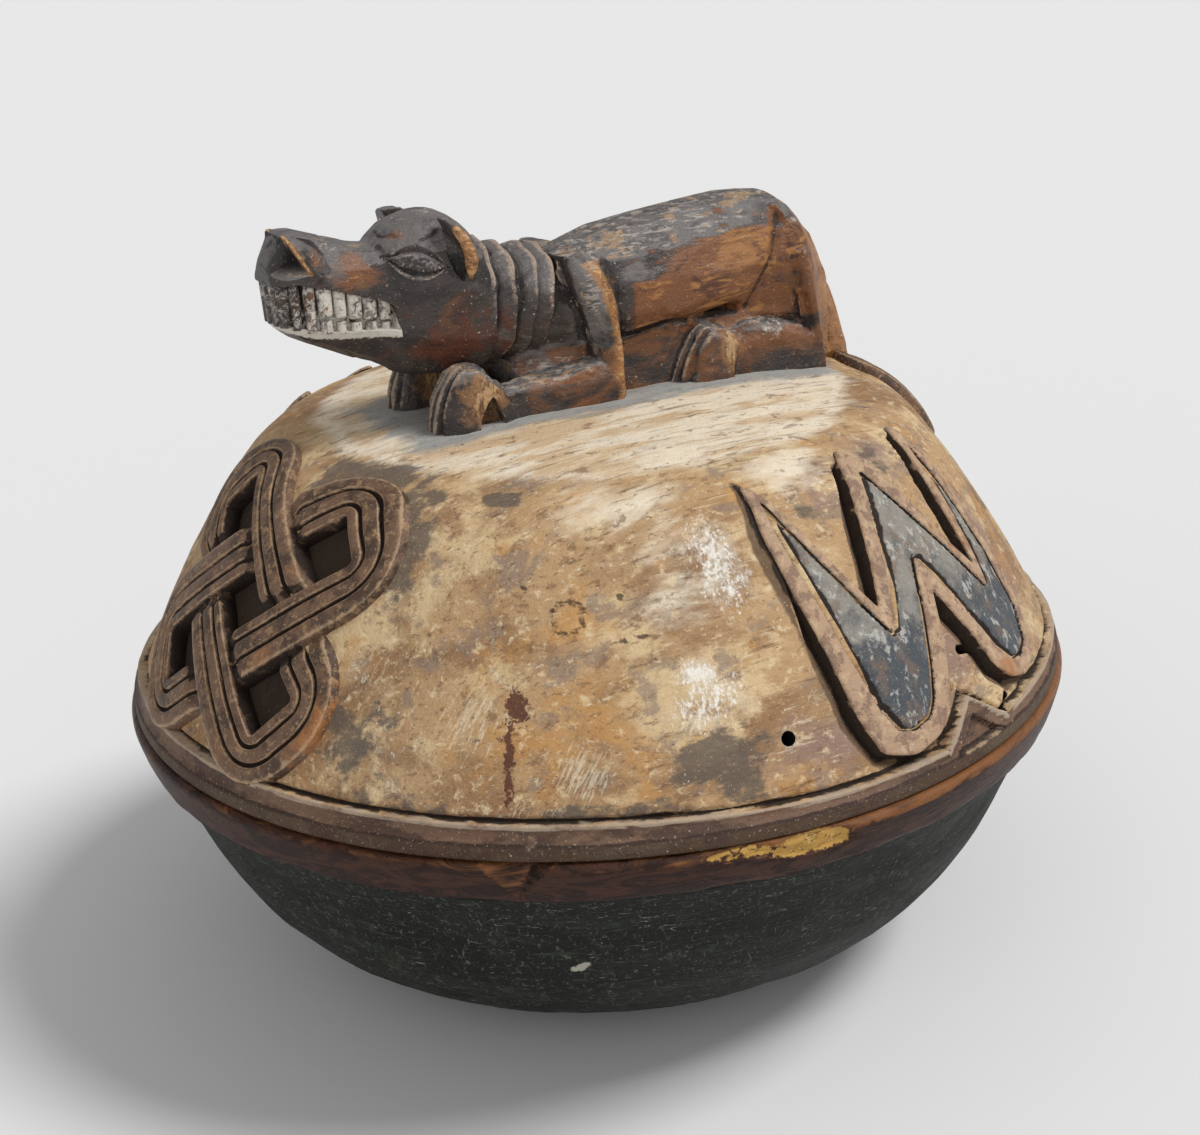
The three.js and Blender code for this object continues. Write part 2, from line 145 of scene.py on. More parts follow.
def loft(name, sections, ends="caps"):
    """Extrudes one outline from section to section, then closes its ends.

    sections holds closed outlines of equal length. ends is caps, ring or open."""
    sections = np.asarray(sections, float)
    bpy.ops.object.select_all(action="DESELECT")
    bpy.ops.mesh.primitive_circle_add(vertices=sections.shape[1], fill_type="NOTHING")
    piece = bpy.context.object
    piece.name = name
    piece.data.name = name
    bpy.ops.object.mode_set(mode="EDIT")
    bpy.ops.mesh.select_all(action="SELECT")
    for _ in sections[1:]:
        bpy.ops.mesh.extrude_region_move()
    bpy.ops.object.mode_set(mode="OBJECT")
    move_points(piece, sections.reshape(-1, 3))
    if ends != "open":
        bpy.ops.object.mode_set(mode="EDIT")
        bpy.ops.mesh.select_mode(type="EDGE")
        bpy.ops.mesh.select_all(action="DESELECT")
        bpy.ops.mesh.select_non_manifold()
        if ends == "ring":
            bpy.ops.mesh.bridge_edge_loops()
        else:
            bpy.ops.mesh.fill_holes(sides=0)
        bpy.ops.mesh.select_all(action="SELECT")
        bpy.ops.mesh.normals_make_consistent(inside=False)
        bpy.ops.object.mode_set(mode="OBJECT")
    return piece


def join(pieces):
    """Joins pieces into the first of them."""
    pick(pieces[0])
    for piece in pieces:
        piece.select_set(True)
    bpy.ops.object.join()
    return pieces[0]


def cut_away(piece, cutter):
    """Takes the cutter's shape out of the piece."""
    pick(piece)
    hollow = piece.modifiers.new("hollow", "BOOLEAN")
    hollow.operation = "DIFFERENCE"
    hollow.solver = "MANIFOLD"
    hollow.object = cutter
    bpy.ops.object.modifier_apply(modifier=hollow.name)
    bpy.data.objects.remove(cutter)


def store(piece, **maps):
    """Keeps one number per vertex under each name, for the piece's material to read."""
    for name, values in maps.items():
        layer = piece.data.attributes.get(name)
        if layer is None:
            layer = piece.data.attributes.new(name, "FLOAT", "POINT")
        layer.data.foreach_set("value", np.asarray(values, np.float32))


# %% [markdown]
# The lid's outside is a turned-looking dome, though it was cut by hand. Its outline is read
# from the photograph as radius and height above the seam. The reliefs lie on this curve, so
# two numbers name each of their points: the azimuth round the lid in degrees, counted from the
# front, and the distance in millimetres up the curve from the seam.

# %% The lid's outline as a curve that the reliefs can lie on
DOME_OUTLINE = [
    (147.5, 0), (144.3, 7.8), (140.6, 16), (135, 27.5), (127.3, 41), (118.6, 54.4),
    (110.3, 66.1), (104.3, 73.5), (98.5, 78.2), (90, 81.6), (78.1, 84), (62, 86), (40, 87), (0, 87.3),
]
dome = np.array(DOME_OUTLINE, float)
dome[:, 1] *= (PLATEAU - LID_BASE) / dome[-1, 1]
steps = np.r_[0, np.cumsum(np.linalg.norm(np.diff(dome, axis=0), axis=1))]
ALONG = np.linspace(0, steps[-1], 800)
DOME_R = np.interp(ALONG, steps, dome[:, 0])
DOME_Z = np.interp(ALONG, steps, dome[:, 1])
# A running mean over about 12 mm rounds the outline's corners.
soft = np.hanning(49) / np.hanning(49).sum()
inner = slice(24, -24)
DOME_R[inner] = np.convolve(DOME_R, soft, "valid")
DOME_Z[inner] = np.convolve(DOME_Z, soft, "valid")
SLOPE_R = np.gradient(DOME_R, ALONG)
SLOPE_Z = np.gradient(DOME_Z, ALONG)
print("the curve is", round(ALONG[-1], 1), "mm long")


def on_dome(azimuth, up, height):
    """Points on the dome at an azimuth and a distance up its curve, raised by height."""
    angle = np.radians(azimuth)
    radius = np.interp(up, ALONG, DOME_R)
    level = np.interp(up, ALONG, DOME_Z)
    slope_r = np.interp(up, ALONG, SLOPE_R)
    slope_z = np.interp(up, ALONG, SLOPE_Z)
    length = np.hypot(slope_r, slope_z)
    radius = radius + height * slope_z / length
    level = level - height * slope_r / length
    return np.stack([radius * np.sin(angle), -radius * np.cos(angle), level + LID_BASE], -1)


def mm_round(azimuth, up, at):
    """Millimetres round the lid from the azimuth `at`, the shorter way."""
    turned = (azimuth - at + HALF_TURN) % 360 - HALF_TURN
    return np.radians(turned) * np.interp(up, ALONG, DOME_R)


# %% [markdown]
# The zigzag is a raised double line in the form of a W. Each pair below is one point of its
# outer edge and the matching point of its inner edge, as (azimuth, distance up), read from the
# photograph. The two edges share their order, so the ridge is a loft from one to the other.

# %% The zigzag's two edges
ZIGZAG_AZIMUTH = 20.0
ZIGZAG_PAIRS = [
    (-1.2, 96, 1, 88), (-1.2, 80, 1.3, 80), (0.3, 62, 3, 65), (2, 45, 5, 45), (3.5, 25, 7.2, 26),
    (5.5, 13, 9, 18.5), (10, 9.5, 11, 17.2), (14.5, 12, 13.5, 18.5), (17.5, 19, 14.8, 22),
    (20.3, 32, 17, 34), (22, 44, 19.7, 48), (23, 49.3, 22.7, 63), (24.3, 42, 25.5, 51),
    (26.3, 33, 28, 38), (28.3, 20, 31, 24), (31, 13.5, 33.3, 18), (35, 10.3, 36, 17),
    (39.5, 13, 38.5, 19), (42, 25, 40.3, 28), (43, 50, 40.8, 50), (43, 75, 40.6, 70),
    (41.5, 93, 40, 84), (40, 95, 40, 84), (38.6, 90, 39.2, 78), (36.8, 75, 38.7, 68),
    (36, 58, 37.6, 52), (35.3, 46, 35.6, 37), (32, 58, 33, 47), (28.5, 75, 29.5, 60),
    (24, 93, 25, 76), (22.3, 98, 22.4, 87.5), (19.5, 92, 20, 76), (16.3, 76, 17.5, 64),
    (14, 61, 15.8, 53), (12.3, 50, 13, 40.5), (9, 62, 9.8, 53), (5, 78, 6, 68), (1.5, 91, 2.8, 80),
]
zigzag = np.array(ZIGZAG_PAIRS, float)


def flat_mm(azimuth, up):
    """Unrolls dome places round the zigzag to flat millimetres."""
    radius = np.interp(up, ALONG, DOME_R)
    return np.stack([np.radians(azimuth - ZIGZAG_AZIMUTH) * radius, up], -1)


def from_flat(places):
    """Rolls flat millimetres back to azimuth and distance up."""
    radius = np.interp(places[:, 1], ALONG, DOME_R)
    return np.degrees(places[:, 0] / radius) + ZIGZAG_AZIMUTH, places[:, 1]


def fill_in(line, counts):
    """Adds points between the corners of a closed line."""
    following = np.roll(line, -1, axis=0)
    parts = []
    for start, end, count in zip(line, following, counts):
        share = np.arange(count)[:, None] / count
        parts.append(start + (end - start) * share)
    return np.concatenate(parts)


def soften(line, times):
    """Rounds the corners of a closed line a little."""
    for _ in range(times):
        line = 0.5 * line + 0.25 * (np.roll(line, 1, axis=0) + np.roll(line, -1, axis=0))
    return line


outer_corners = flat_mm(zigzag[:, 0], zigzag[:, 1])
inner_corners = flat_mm(zigzag[:, 2], zigzag[:, 3])
inner_corners = outer_corners + 0.84 * (inner_corners - outer_corners)
lengths = np.linalg.norm(np.roll(outer_corners, -1, axis=0) - outer_corners, axis=1)
counts = np.maximum(2, np.ceil(lengths / 0.9)).astype(int)
zig_outer = soften(fill_in(outer_corners, counts), 8)
zig_inner = soften(fill_in(inner_corners, counts), 5)
print("zigzag edge of", len(zig_outer), "points")

# %% [markdown]
# Beside the zigzag's left-hand edges the ground was cut away deeper, so that the ridges
# stand out: those ditches show as dark wedges. The knot's openings are sunk in the same way.
# Both are heights added to the lid's own surface. The distance to a line gives their slope.

# %% Heights cut into the lid's ground
DITCH_DEPTH = 3.4
WELL_DEPTH = 3.2
WELLS = ((0, 0), (25, 21), (25, -21), (-25, 21), (-25, -21))
KNOT_AZIMUTH = -81.0
KNOT_UP = 54.0
KNOT_TURN = math.radians(40.5)


def gap_to_line(places, line, closed=True):
    """Shortest distance from each place to a line of points."""
    following = np.roll(line, -1, axis=0) if closed else line[1:]
    starts = line if closed else line[:-1]
    best = np.full(len(places), 1e9)
    for start, end in zip(starts, following):
        course = end - start
        share = ((places - start) @ course) / (course @ course + 1e-9)
        nearest = start + np.clip(share, 0, 1)[:, None] * course
        best = np.minimum(best, np.hypot(*(places - nearest).T))
    return best


def zigzag_ditches(azimuth, up):
    """How deep the ground is cut beside the zigzag."""
    places = flat_mm(azimuth, up)
    near = (np.abs(places[:, 0]) < 75) & (up < 112)
    depth = np.zeros(len(places))
    spots = places[near]
    cut = np.zeros(len(spots))
    reach = along([(10, 4.5), (22, 6.5), (50, 5.8), (76, 5.2), (97, 1.6)], spots[:, 1])
    for first, last in ((0, 6), (11, 15), (23, 26), (31, 34)):
        line = outer_corners[first:last + 1]
        gap = gap_to_line(spots, line, closed=False)
        cut = np.maximum(cut, DITCH_DEPTH * np.clip((reach - gap) / (reach - 0.8), 0, 1) ** 0.8)
    for first, last in ((5, 8), (14, 18)):
        gap = gap_to_line(spots, outer_corners[first:last], closed=False)
        cut = np.maximum(cut, 0.7 * DITCH_DEPTH * np.clip((3.6 - gap) / 3.0, 0, 1))
    depth[near] = cut
    return depth


def knot_places(azimuth, up):
    """Flat millimetres round the knot."""
    return np.stack([mm_round(azimuth, up, KNOT_AZIMUTH), up - KNOT_UP], -1)


def knot_wells(azimuth, up, flat=11, end=14):
    """How deep the knot's openings are cut: fully up to `flat` from a middle, and not from `end`."""
    x, y = knot_places(azimuth, up).T
    depth = np.zeros(len(x))
    for at_x, at_y in WELLS:
        a = (x - at_x) * math.cos(KNOT_TURN) + (y - at_y) * math.sin(KNOT_TURN)
        b = (x - at_x) * math.cos(KNOT_TURN) - (y - at_y) * math.sin(KNOT_TURN)
        well = 1 - smooth_step(flat, end, np.maximum(np.abs(a), np.abs(b)))
        depth = np.maximum(depth, WELL_DEPTH * well)
    return depth


# %% [markdown]
# Lid border: a rounded band with a pale bead above it and a thin groove above that. The
# groove climbs in a small gable under the middle of each zigzag, and to the right of the
# front it runs a little lower. Its line is a height over the azimuth, and everything under it
# is raised, so band, bead and gable are one relief.

# %% The border's relief
BORDER_UP = 10.4
BORDER_FALL = 2.2
GABLE_PEAK = 19.6
GABLE_HALF = 6.0
GABLE_STRIP = 7.2
GABLE_SLOPE = 0.62


def below_border(azimuth, up):
    """How far each place lies below the border's line, and below the gable's inner line."""
    round_half = (azimuth + 90) % HALF_TURN - 90
    side = np.abs((azimuth - ZIGZAG_AZIMUTH + 90) % HALF_TURN - 90)
    low = BORDER_UP - BORDER_FALL * smooth_step(-30, 5, round_half) * (1 - smooth_step(60, 85, round_half))
    gable = GABLE_PEAK - (GABLE_PEAK - BORDER_UP + BORDER_FALL) * side / GABLE_HALF
    steep = np.where(gable > low, GABLE_SLOPE, 1.0)
    return (np.maximum(low, gable) - up) * steep, (gable - GABLE_STRIP - up) * GABLE_SLOPE


def border_height(azimuth, up):
    """Height of the border over the dome at each place."""
    below, under = below_border(azimuth, up)
    groove = -1.5 * np.exp(-((below + 0.2) / 0.55) ** 2)
    bead = 0.9 * np.exp(-((below - 1.2) / 0.7) ** 2)
    band = 1.6 * smooth_step(0.2, 1.1, below)
    pit = 1.9 * smooth_step(-0.3, 0.5, under) * smooth_step(2.6, 3.6, up)
    return groove + bead + band - pit


def ground_height(azimuth, up):
    """Height of the lid's finished ground over the dome: border, ditches and wells."""
    height = border_height(azimuth, up)
    for turn in (0, HALF_TURN):
        height = height - zigzag_ditches(azimuth - turn, up) - knot_wells(azimuth - turn, up)
    return height


# %% [markdown]
# Lid: one closed shell, from the middle of its hollow inside, over the seat that rests on the
# bowl, up the edge and over the dome. It could be spun from a line, but the loft keeps its
# rows and columns in order, so that each vertex knows its azimuth and its distance up.

# %% The lid's shell
SEAT_RADIUS = LID_RADIUS - 11.0
INSIDE = [(2, 75), (50, 74.5), (88, 70), (99, 64), (106, 56), (118, 40), (127, 22), (131, 9), (137.5, 6.2)]
EDGE = [(SEAT_RADIUS, 5.5), (SEAT_RADIUS, 0.3), (SEAT_RADIUS + 0.6, 0), (142, 0), (146.9, 0),
        (147.9, 0.1), (148.3, 0.4), (148.5, 1.0), (148.5, 2.2), (148.4, 3.6), (148.1, 4.6)]


def spaced(values, least):
    """The values in order, without those that follow another too closely."""
    kept = []
    for value in np.sort(values):
        if not kept or value - kept[-1] >= least:
            kept.append(value)
    return np.array(kept)


def rings(line, azimuths, base=0.0):
    """One ring round the axis for each (radius, level) of a line."""
    angle = np.radians(azimuths)
    made = []
    for radius, level in line:
        flat = np.full(len(angle), level + base)
        made.append(np.stack([radius * np.sin(angle), -radius * np.cos(angle), flat], -1))
    return made


zigzag_span = np.arange(-6, 48, 0.45)
gable_span = ZIGZAG_AZIMUTH + np.arange(-8, 8.01, 0.16)
columns = spaced(np.r_[
    np.arange(0, 360, 1.0), zigzag_span % 360, zigzag_span + HALF_TURN, gable_span, gable_span + HALF_TURN,
], 0.14)
ups = np.r_[
    np.arange(5.2, 24, 0.62), np.arange(24, 102, 1.05), np.arange(102, 116, 2.0), np.arange(116, 190, 5.4),
]
rows = rings(INSIDE + EDGE, columns, LID_BASE)
inside_count = len(rows) * len(columns)
for up in ups:
    at = np.full(len(columns), up)
    rows.append(on_dome(columns, at, ground_height(columns, at)))
lid = loft("lid_dome", rows)
print("lid of", len(rows), "rows and", len(columns), "columns")

# %% [markdown]
# Hand work leaves a surface slightly uneven. Long shallow waves and small dents are added
# along the dome. They stay under half a millimetre, so the lid still fits its bowl.

# %% Unevenness of the lid
points = points_of(lid)
outside = np.arange(len(points)) >= inside_count
waves = uneven(points, 34, 3.1) * 0.45 + uneven(points, 11, 8.4) * 0.22 + uneven(points, 4.5, 5.2) * 0.10
waves = waves * outside * smooth_step(2, 6, points[:, 2] - LID_BASE)
move_points(lid, points + normals_of(lid) * waves[:, None])
print("waves up to", round(float(np.abs(waves).max()), 2), "mm")

# %% [markdown]
# Three small holes go right through the lid: a round drilled one, a slot beside the zigzag
# and one broken out above the border. A drill is a short loft that starts inside the lid and
# ends outside it, with a ring just under the surface so that the hole's edge stays crisp.

# %% Holes through the lid
# Each hole: azimuth, distance up, radius, and half its length sideways and upwards.
HOLES = [(-5.5, 24.5, 2.1, 0, 0), (25.2, 28.6, 1.5, 5.2, -1.4), (27.6, 8.6, 1.5, 2.6, 2.0)]
for azimuth, up, radius, reach_side, reach_up in HOLES:
    spot = np.array([azimuth]), np.array([up])
    out = (on_dome(*spot, 1.0) - on_dome(*spot, 0.0))[0]
    sideways = np.array((math.cos(math.radians(azimuth)), math.sin(math.radians(azimuth)), 0))
    upwards = np.cross(out, sideways)
    swing = np.linspace(0, 2 * math.pi, 22, endpoint=False)[:, None]
    ends = np.sign(np.cos(swing) * reach_side + np.sin(swing) * reach_up + 1e-6)
    circle = (radius * np.cos(swing) + ends * reach_side) * sideways
    circle = circle + (radius * np.sin(swing) + ends * reach_up) * upwards
    under_edge = float(ground_height(*spot)[0]) - 0.5
    cut_away(lid, loft("drill", [on_dome(*spot, height) + circle for height in (-16.0, under_edge, 12.0)]))
print("lid now has", len(lid.data.vertices), "vertices")

# %% [markdown]
# The zigzag's ridge is lofted from its outer edge to its inner edge: up the wall, over a
# rounded top, down into the dark groove and up again to the sunk field. The field is a sheet
# of small triangles that lies on the dome, because one flat face would cut through the curve.

# %% The zigzag reliefs
GROOVE_HEIGHT = -0.3
FIELD_HEIGHT = 0.9
# The share of the ridge's width from its outer edge, and the height there.
RIDGE_SECTION = [
    (-0.16, -6.0), (-0.05, -2.0), (-0.01, 0.3), (0.0, 0.8), (0.05, 1.1), (0.14, 1.25), (0.5, 1.3),
    (0.84, 1.22), (0.94, 1.1), (0.99, 0.8), (1.0, 0.5), (1.01, -0.1), (1.08, GROOVE_HEIGHT),
]
SHADE_REACH = 4.5


def crossings(places, line):
    """For each side of a closed line, the places at its height and how far right of it they lie."""
    x, y = places.T
    for start, end in zip(line, np.roll(line, -1, axis=0)):
        level = (start[1] > y) != (end[1] > y)
        at = (end[0] - start[0]) * (y - start[1]) / (end[1] - start[1] + 1e-12) + start[0]
        yield level, x - at


def inside_line(places, line):
    """True for the places inside a closed line."""
    inside = np.zeros(len(places), bool)
    for level, right in crossings(places, line):
        inside ^= level & (right < 0)
    return inside


def left_shade(places):
    """1 at the zigzag's inner walls and 0 from a little right of them, where a dark groove lies."""
    gap = np.full(len(places), SHADE_REACH)
    for level, right in crossings(places, zig_inner):
        gap = np.where(level & (right > 0), np.minimum(gap, right), gap)
    return 1 - gap / SHADE_REACH


def zigzag_relief(name, turn):
    """One zigzag, turned round the lid."""
    across = zig_inner - zig_outer
    width = np.linalg.norm(across, axis=1)[:, None]
    across = across / width
    reach = np.minimum(width, 5.8)
    sections = []
    shake = noise_at((k * 0.045, turn, 0.0) for k in range(len(zig_outer)))
    for share, height in RIDGE_SECTION:
        if share <= 1:
            line = zig_outer + across * width * share
        else:
            line = zig_inner + across * reach * (share - 1)
        azimuth, up = from_flat(line)
        sections.append(on_dome(azimuth + turn, up, height + 0.25 * shake * (height > 0)))
    ridge = loft(name, sections, "open")
    border = flat_mm(*from_flat(zig_inner + across * reach * 0.08))
    low, high = border.min(0), border.max(0)
    grid = np.stack(np.meshgrid(np.arange(low[0], high[0], 0.8), np.arange(low[1], high[1], 0.8)), -1)
    grid = grid.reshape(-1, 2)
    grid = grid[inside_line(grid, border)]
    grid = grid[gap_to_line(grid, border) > 0.4]
    spots = np.concatenate([border, grid])
    made = delaunay_2d_cdt([Vector(spot) for spot in spots], [], [list(range(len(border)))], 1, 1e-4)
    places = np.array([tuple(spot) for spot in made[0]])
    azimuth, up = from_flat(places)
    rise = smooth_step(0.1, 0.9, gap_to_line(places, border))
    rise = rise * (1 - smooth_step(0.15, 0.7, left_shade(places)))
    fold = 0.5 * np.abs(uneven(np.c_[places, places[:, 0] * 0], 16, 2.0 + turn))
    tops = on_dome(azimuth + turn, up, GROOVE_HEIGHT + (FIELD_HEIGHT - GROOVE_HEIGHT - fold) * rise)
    field = bpy.data.objects.new(name + "_field", bpy.data.meshes.new(name + "_field"))
    bpy.context.collection.objects.link(field)
    field.data.from_pydata([Vector(top * MM) for top in tops], [], [tuple(face) for face in made[2]])
    whole = join([ridge, field])
    bpy.ops.object.mode_set(mode="EDIT")
    bpy.ops.mesh.select_all(action="SELECT")
    bpy.ops.mesh.remove_doubles(threshold=0.02 * MM)
    bpy.ops.mesh.normals_make_consistent(inside=False)
    bpy.ops.object.mode_set(mode="OBJECT")
    return whole


zigzags = [zigzag_relief("zigzag_relief", 0.0), zigzag_relief("zigzag_relief_back", HALF_TURN)]
print("zigzag faces", [len(piece.data.polygons) for piece in zigzags])

# %% [markdown]
# The knot is two long rings that pass over and under one another. Each ring is a band with
# two grooves, so it shows three strands. A ring is lofted across its section: every outline
# is a rounded rectangle, and where a band passes under, its outline dips.

# %% The knot reliefs
# The distance out from the band's middle, and the height there.
BAND_SECTION = [
    (9.2, -4.5), (8.5, 0.6), (8.0, 2.0), (7.4, 2.7), (5.2, 3.2), (3.4, 3.0), (2.75, 2.7), (2.5, 1.2),
    (1.9, 0.7), (1.3, 1.2), (1.05, 2.6), (0.5, 2.9), (-1.1, 3.1), (-2.5, 2.9), (-3.05, 2.6),
    (-3.3, 1.2), (-3.9, 0.7), (-4.5, 1.2), (-4.75, 2.4), (-5.6, 2.7), (-6.8, 2.7), (-7.5, 2.3),
    (-7.9, 1.2), (-8.3, -4.5),
]
# Places in that list: grooves and feet get painted shade, crests are rubbed, the outer strand is warm.
BAND_PARTS = {"black": (0, 7, 8, 9, 15, 16, 17, 23), "crest": (3, 6, 10, 14, 18, 21), "warm": range(6)}
KNOT_SIDE = 16.3
RING_HALF_LENGTH = 49.0
RING_CORNER = 11.5
CROSSINGS = np.array([(0, 21.4), (25.1, 0), (0, -21.4), (-25.1, 0)])
QUARTERS = ((1, 1), (-1, 1), (-1, -1), (1, -1))


def ring_outline(offset):
    """Rounded rectangle at an offset from the band's middle, always with as many points."""
    corner = max(0.5, min(RING_CORNER + 1.31 * offset, KNOT_SIDE + offset - 0.2))
    flat = np.array((RING_HALF_LENGTH, KNOT_SIDE)) + offset - corner

    def corner_point(quarter, share):
        angle = (quarter + share) * math.pi / 2
        return QUARTERS[quarter % 4] * flat + (corner * math.cos(angle), corner * math.sin(angle))

    outline = []
    for quarter, count in enumerate((90, 22, 90, 22)):
        outline += [corner_point(quarter, share) for share in np.linspace(0, 1, 22)]
        start, end = outline[-1], corner_point(quarter + 1, 0)
        outline += [start + (end - start) * share for share in np.linspace(0, 1, count + 2)[1:-1]]
    return np.array(outline)


def knot_ring(name, tilt, turn, below):
    """One ring of the knot. `below` lists the crossings where it passes under."""
    cos, sin = math.cos(tilt), math.sin(tilt)
    sections = []
    for offset, height in BAND_SECTION:
        line = ring_outline(offset)
        x = line[:, 0] * cos - line[:, 1] * sin + 0.5 * noise_at((*spot, tilt) for spot in line * 0.05)
        y = line[:, 0] * sin + line[:, 1] * cos + 0.5 * noise_at((*spot, 7.0 + tilt) for spot in line * 0.05)
        closest = np.linalg.norm(np.stack([x, y], -1)[:, None] - CROSSINGS[None], axis=2).argmin(1)
        other = np.abs(np.abs(x * sin + y * cos) - KNOT_SIDE)
        dip = 2.1 * (1 - smooth_step(8.0, 13.5, other)) * np.isin(closest, below)
        up = KNOT_UP + y
        azimuth = KNOT_AZIMUTH + turn + np.degrees(x / np.interp(up, ALONG, DOME_R))
        sections.append(on_dome(azimuth, up, height - dip * (height > 0)))
    ring = loft(name, sections, "ring")
    for mask, places in BAND_PARTS.items():
        values = [1.0 * (k in places) for k in range(len(sections))]
        store(ring, **{mask: np.repeat(values, len(sections[0]))})
    return ring


knots = []
for side, turn in (("", 0.0), ("_back", HALF_TURN)):
    falling = knot_ring("knot_ring_falling" + side, -KNOT_TURN, turn, (1, 3))
    rising = knot_ring("knot_ring_rising" + side, KNOT_TURN, turn, (0, 2))
    knots.append(join([falling, rising]))
    knots[-1].name = "knot_relief" + side
print("knot faces", [len(piece.data.polygons) for piece in knots])

# %% [markdown]
# Bowl: round-bottomed, with a small flat foot, a raised band round the rim and a lip inside
# the rim that centres the lid. It is one loft from the middle of its foot, up the outside,
# over the lip and down the inside.

# %% The bowl's shell
# (radius, level) in millimetres, as read off the photograph's outline.
BOWL_OUTSIDE = [
    (2, 0), (25, 0), (47, 0), (50, 0.3), (52.5, 1.2), (78.8, 4.4), (94.3, 14.8), (112.7, 27.3),
    (124.4, 41.8), (132.1, 56.4), (137.9, 71), (141.5, 77.5), (144.3, 82.3),
]
BAND_OUTSIDE = [
    (144.5, 82.9), (145.6, 83.2), (146.8, 83.9), (147.5, 85.2), (148.5, 88), (149.4, 91.2), (149.9, 93.2),
    (149.9, 94.2), (149.5, 95.1), (148.8, 95.7), (147.8, 96),
]
LIP = [
    (143, 96), (137.2, 96), (136.7, 96.4), (136.7, 99.8), (136, 100.8), (135, 101), (132.6, 101),
    (131.7, 100.4),
]
BOWL_INSIDE = [(131.6, 96), (130, 84), (124, 66), (113, 44), (98, 27), (76, 17), (40, 13.2), (2, 13)]


def closer(line, step):
    """The same line with points no further apart than step."""
    line = np.array(line, float)
    parts = []
    for start, end in zip(line[:-1], line[1:]):
        count = max(1, int(np.ceil(np.linalg.norm(end - start) / step)))
        parts.append(start + (end - start) * (np.arange(count)[:, None] / count))
    return np.concatenate(parts + [line[-1:]])


def rounded(line, times):
    """An open line with its corners softened and its ends kept."""
    line = np.array(line, float)
    for _ in range(times):
        line[1:-1] = 0.5 * line[1:-1] + 0.25 * (line[:-2] + line[2:])
    return line


bowl_line = np.concatenate([
    BOWL_OUTSIDE[:2], rounded(closer(BOWL_OUTSIDE[2:], 2.2), 6), closer(BAND_OUTSIDE, 0.8), closer(LIP, 4),
    closer(BOWL_INSIDE, 7),
])
turns = spaced(np.r_[np.arange(0, 360, 0.75), np.arange(318, 330, 0.2)], 0.15)
bowl = loft("bowl_round", rings(bowl_line, turns))
print("bowl", len(bowl.data.polygons), "faces")

# %% [markdown]
# The bowl's outside keeps shallow cuts of the adze, and its rim band has a wavy lower edge,
# a notch and a broken chip. All are small moves of the vertices, measured off the photograph.

# %% Cuts, notch and chip of the bowl
NOTCH_AT = -36.2
NOTCH_LOW = 84.3
BOWL_RIM = 96.0
points = points_of(bowl)
azimuth = np.degrees(np.arctan2(points[:, 0], -points[:, 1]))
radius = np.hypot(points[:, 0], points[:, 1])
away = normals_of(bowl)
outer_face = (away * (points - (0, 0, 60))).sum(1) > 0
under_band = outer_face & (points[:, 2] < 84) & (points[:, 2] > 0.5)
depth = uneven(points, 22, 2.2) * 0.55 + uneven(points, 8, 6.1) * 0.25
points = points + away * (depth * under_band * smooth_step(0.5, 6, points[:, 2]))[:, None]
edge = outer_face & (points[:, 2] > 82.5) & (points[:, 2] < 86.5)
points[:, 2] += edge * uneven(points * [1, 1, 0], 18, 9.0) * 0.9 * (1 - smooth_step(84, 86.5, points[:, 2]))
opening = 4.1 * np.clip((points[:, 2] - NOTCH_LOW) / (BOWL_RIM - NOTCH_LOW), 0, 1)
left_face = (azimuth - NOTCH_AT + opening) * 0.55
right_face = (opening - azimuth + NOTCH_AT) * 1.4
notch = np.clip(np.minimum(left_face, right_face), 0, 3.4) * (radius > 141) * (points[:, 2] < BOWL_RIM + 0.5)
chip = 1 - smooth_step(0.6, 1.0, np.hypot((azimuth + 5.2) / 5.8, (points[:, 2] - 92.6) / 4.0))
chip_end = 0.7 - smooth_step(0.5, 1.0, np.hypot((azimuth + 12.5) / 6, (points[:, 2] - 94.2) / 2.2))
chip = np.maximum(chip, chip_end)
chip = chip * outer_face * (0.8 + 0.5 * uneven(points, 3, 4.0) + 0.4 * uneven(points, 1.3, 2.0))
inward = -points * [1, 1, 0] / np.maximum(radius, 1)[:, None]
move_points(bowl, points + inward * (notch + 2.2 * chip)[:, None])
print("notch and chip touch", int((notch > 0.1).sum()), "and", int((chip > 0.1).sum()), "points")

# %% [markdown]
# The animal was left standing when the top of the lid was cut away round it. Its trunk is
# a loft through sections read off the photograph: half an outline each, from the back's
# ridge to the belly, as (distance out, height over the plateau). The other half mirrors it.

# %% Trunk of the animal
FEET_DEPTH = 6.0


def across_body(x, half):
    """A closed outline across the body at x, from half of it."""
    near = [(x, -out, PLATEAU + up) for out, up in half]
    far = [(x, out, PLATEAU + up) for out, up in half[::-1] if out > 0]
    return near + far


def curved(stations, parts):
    """Adds sections between the given ones along smooth curves."""
    stations = np.asarray(stations, float)
    before = np.concatenate([stations[:1], stations[:-1]])
    after = np.concatenate([stations[2:], stations[-1:]])
    made = []
    for p0, p1, p2, p3 in zip(before, stations[:-1], stations[1:], after):
        for share in np.arange(parts) / parts:
            made.append(0.5 * (2 * p1 + (p2 - p0) * share + (2 * p0 - 5 * p1 + 4 * p2 - p3) * share ** 2
                               + (3 * p1 - p0 - 3 * p2 + p3) * share ** 3))
    made.append(stations[-1])
    return np.array(made)


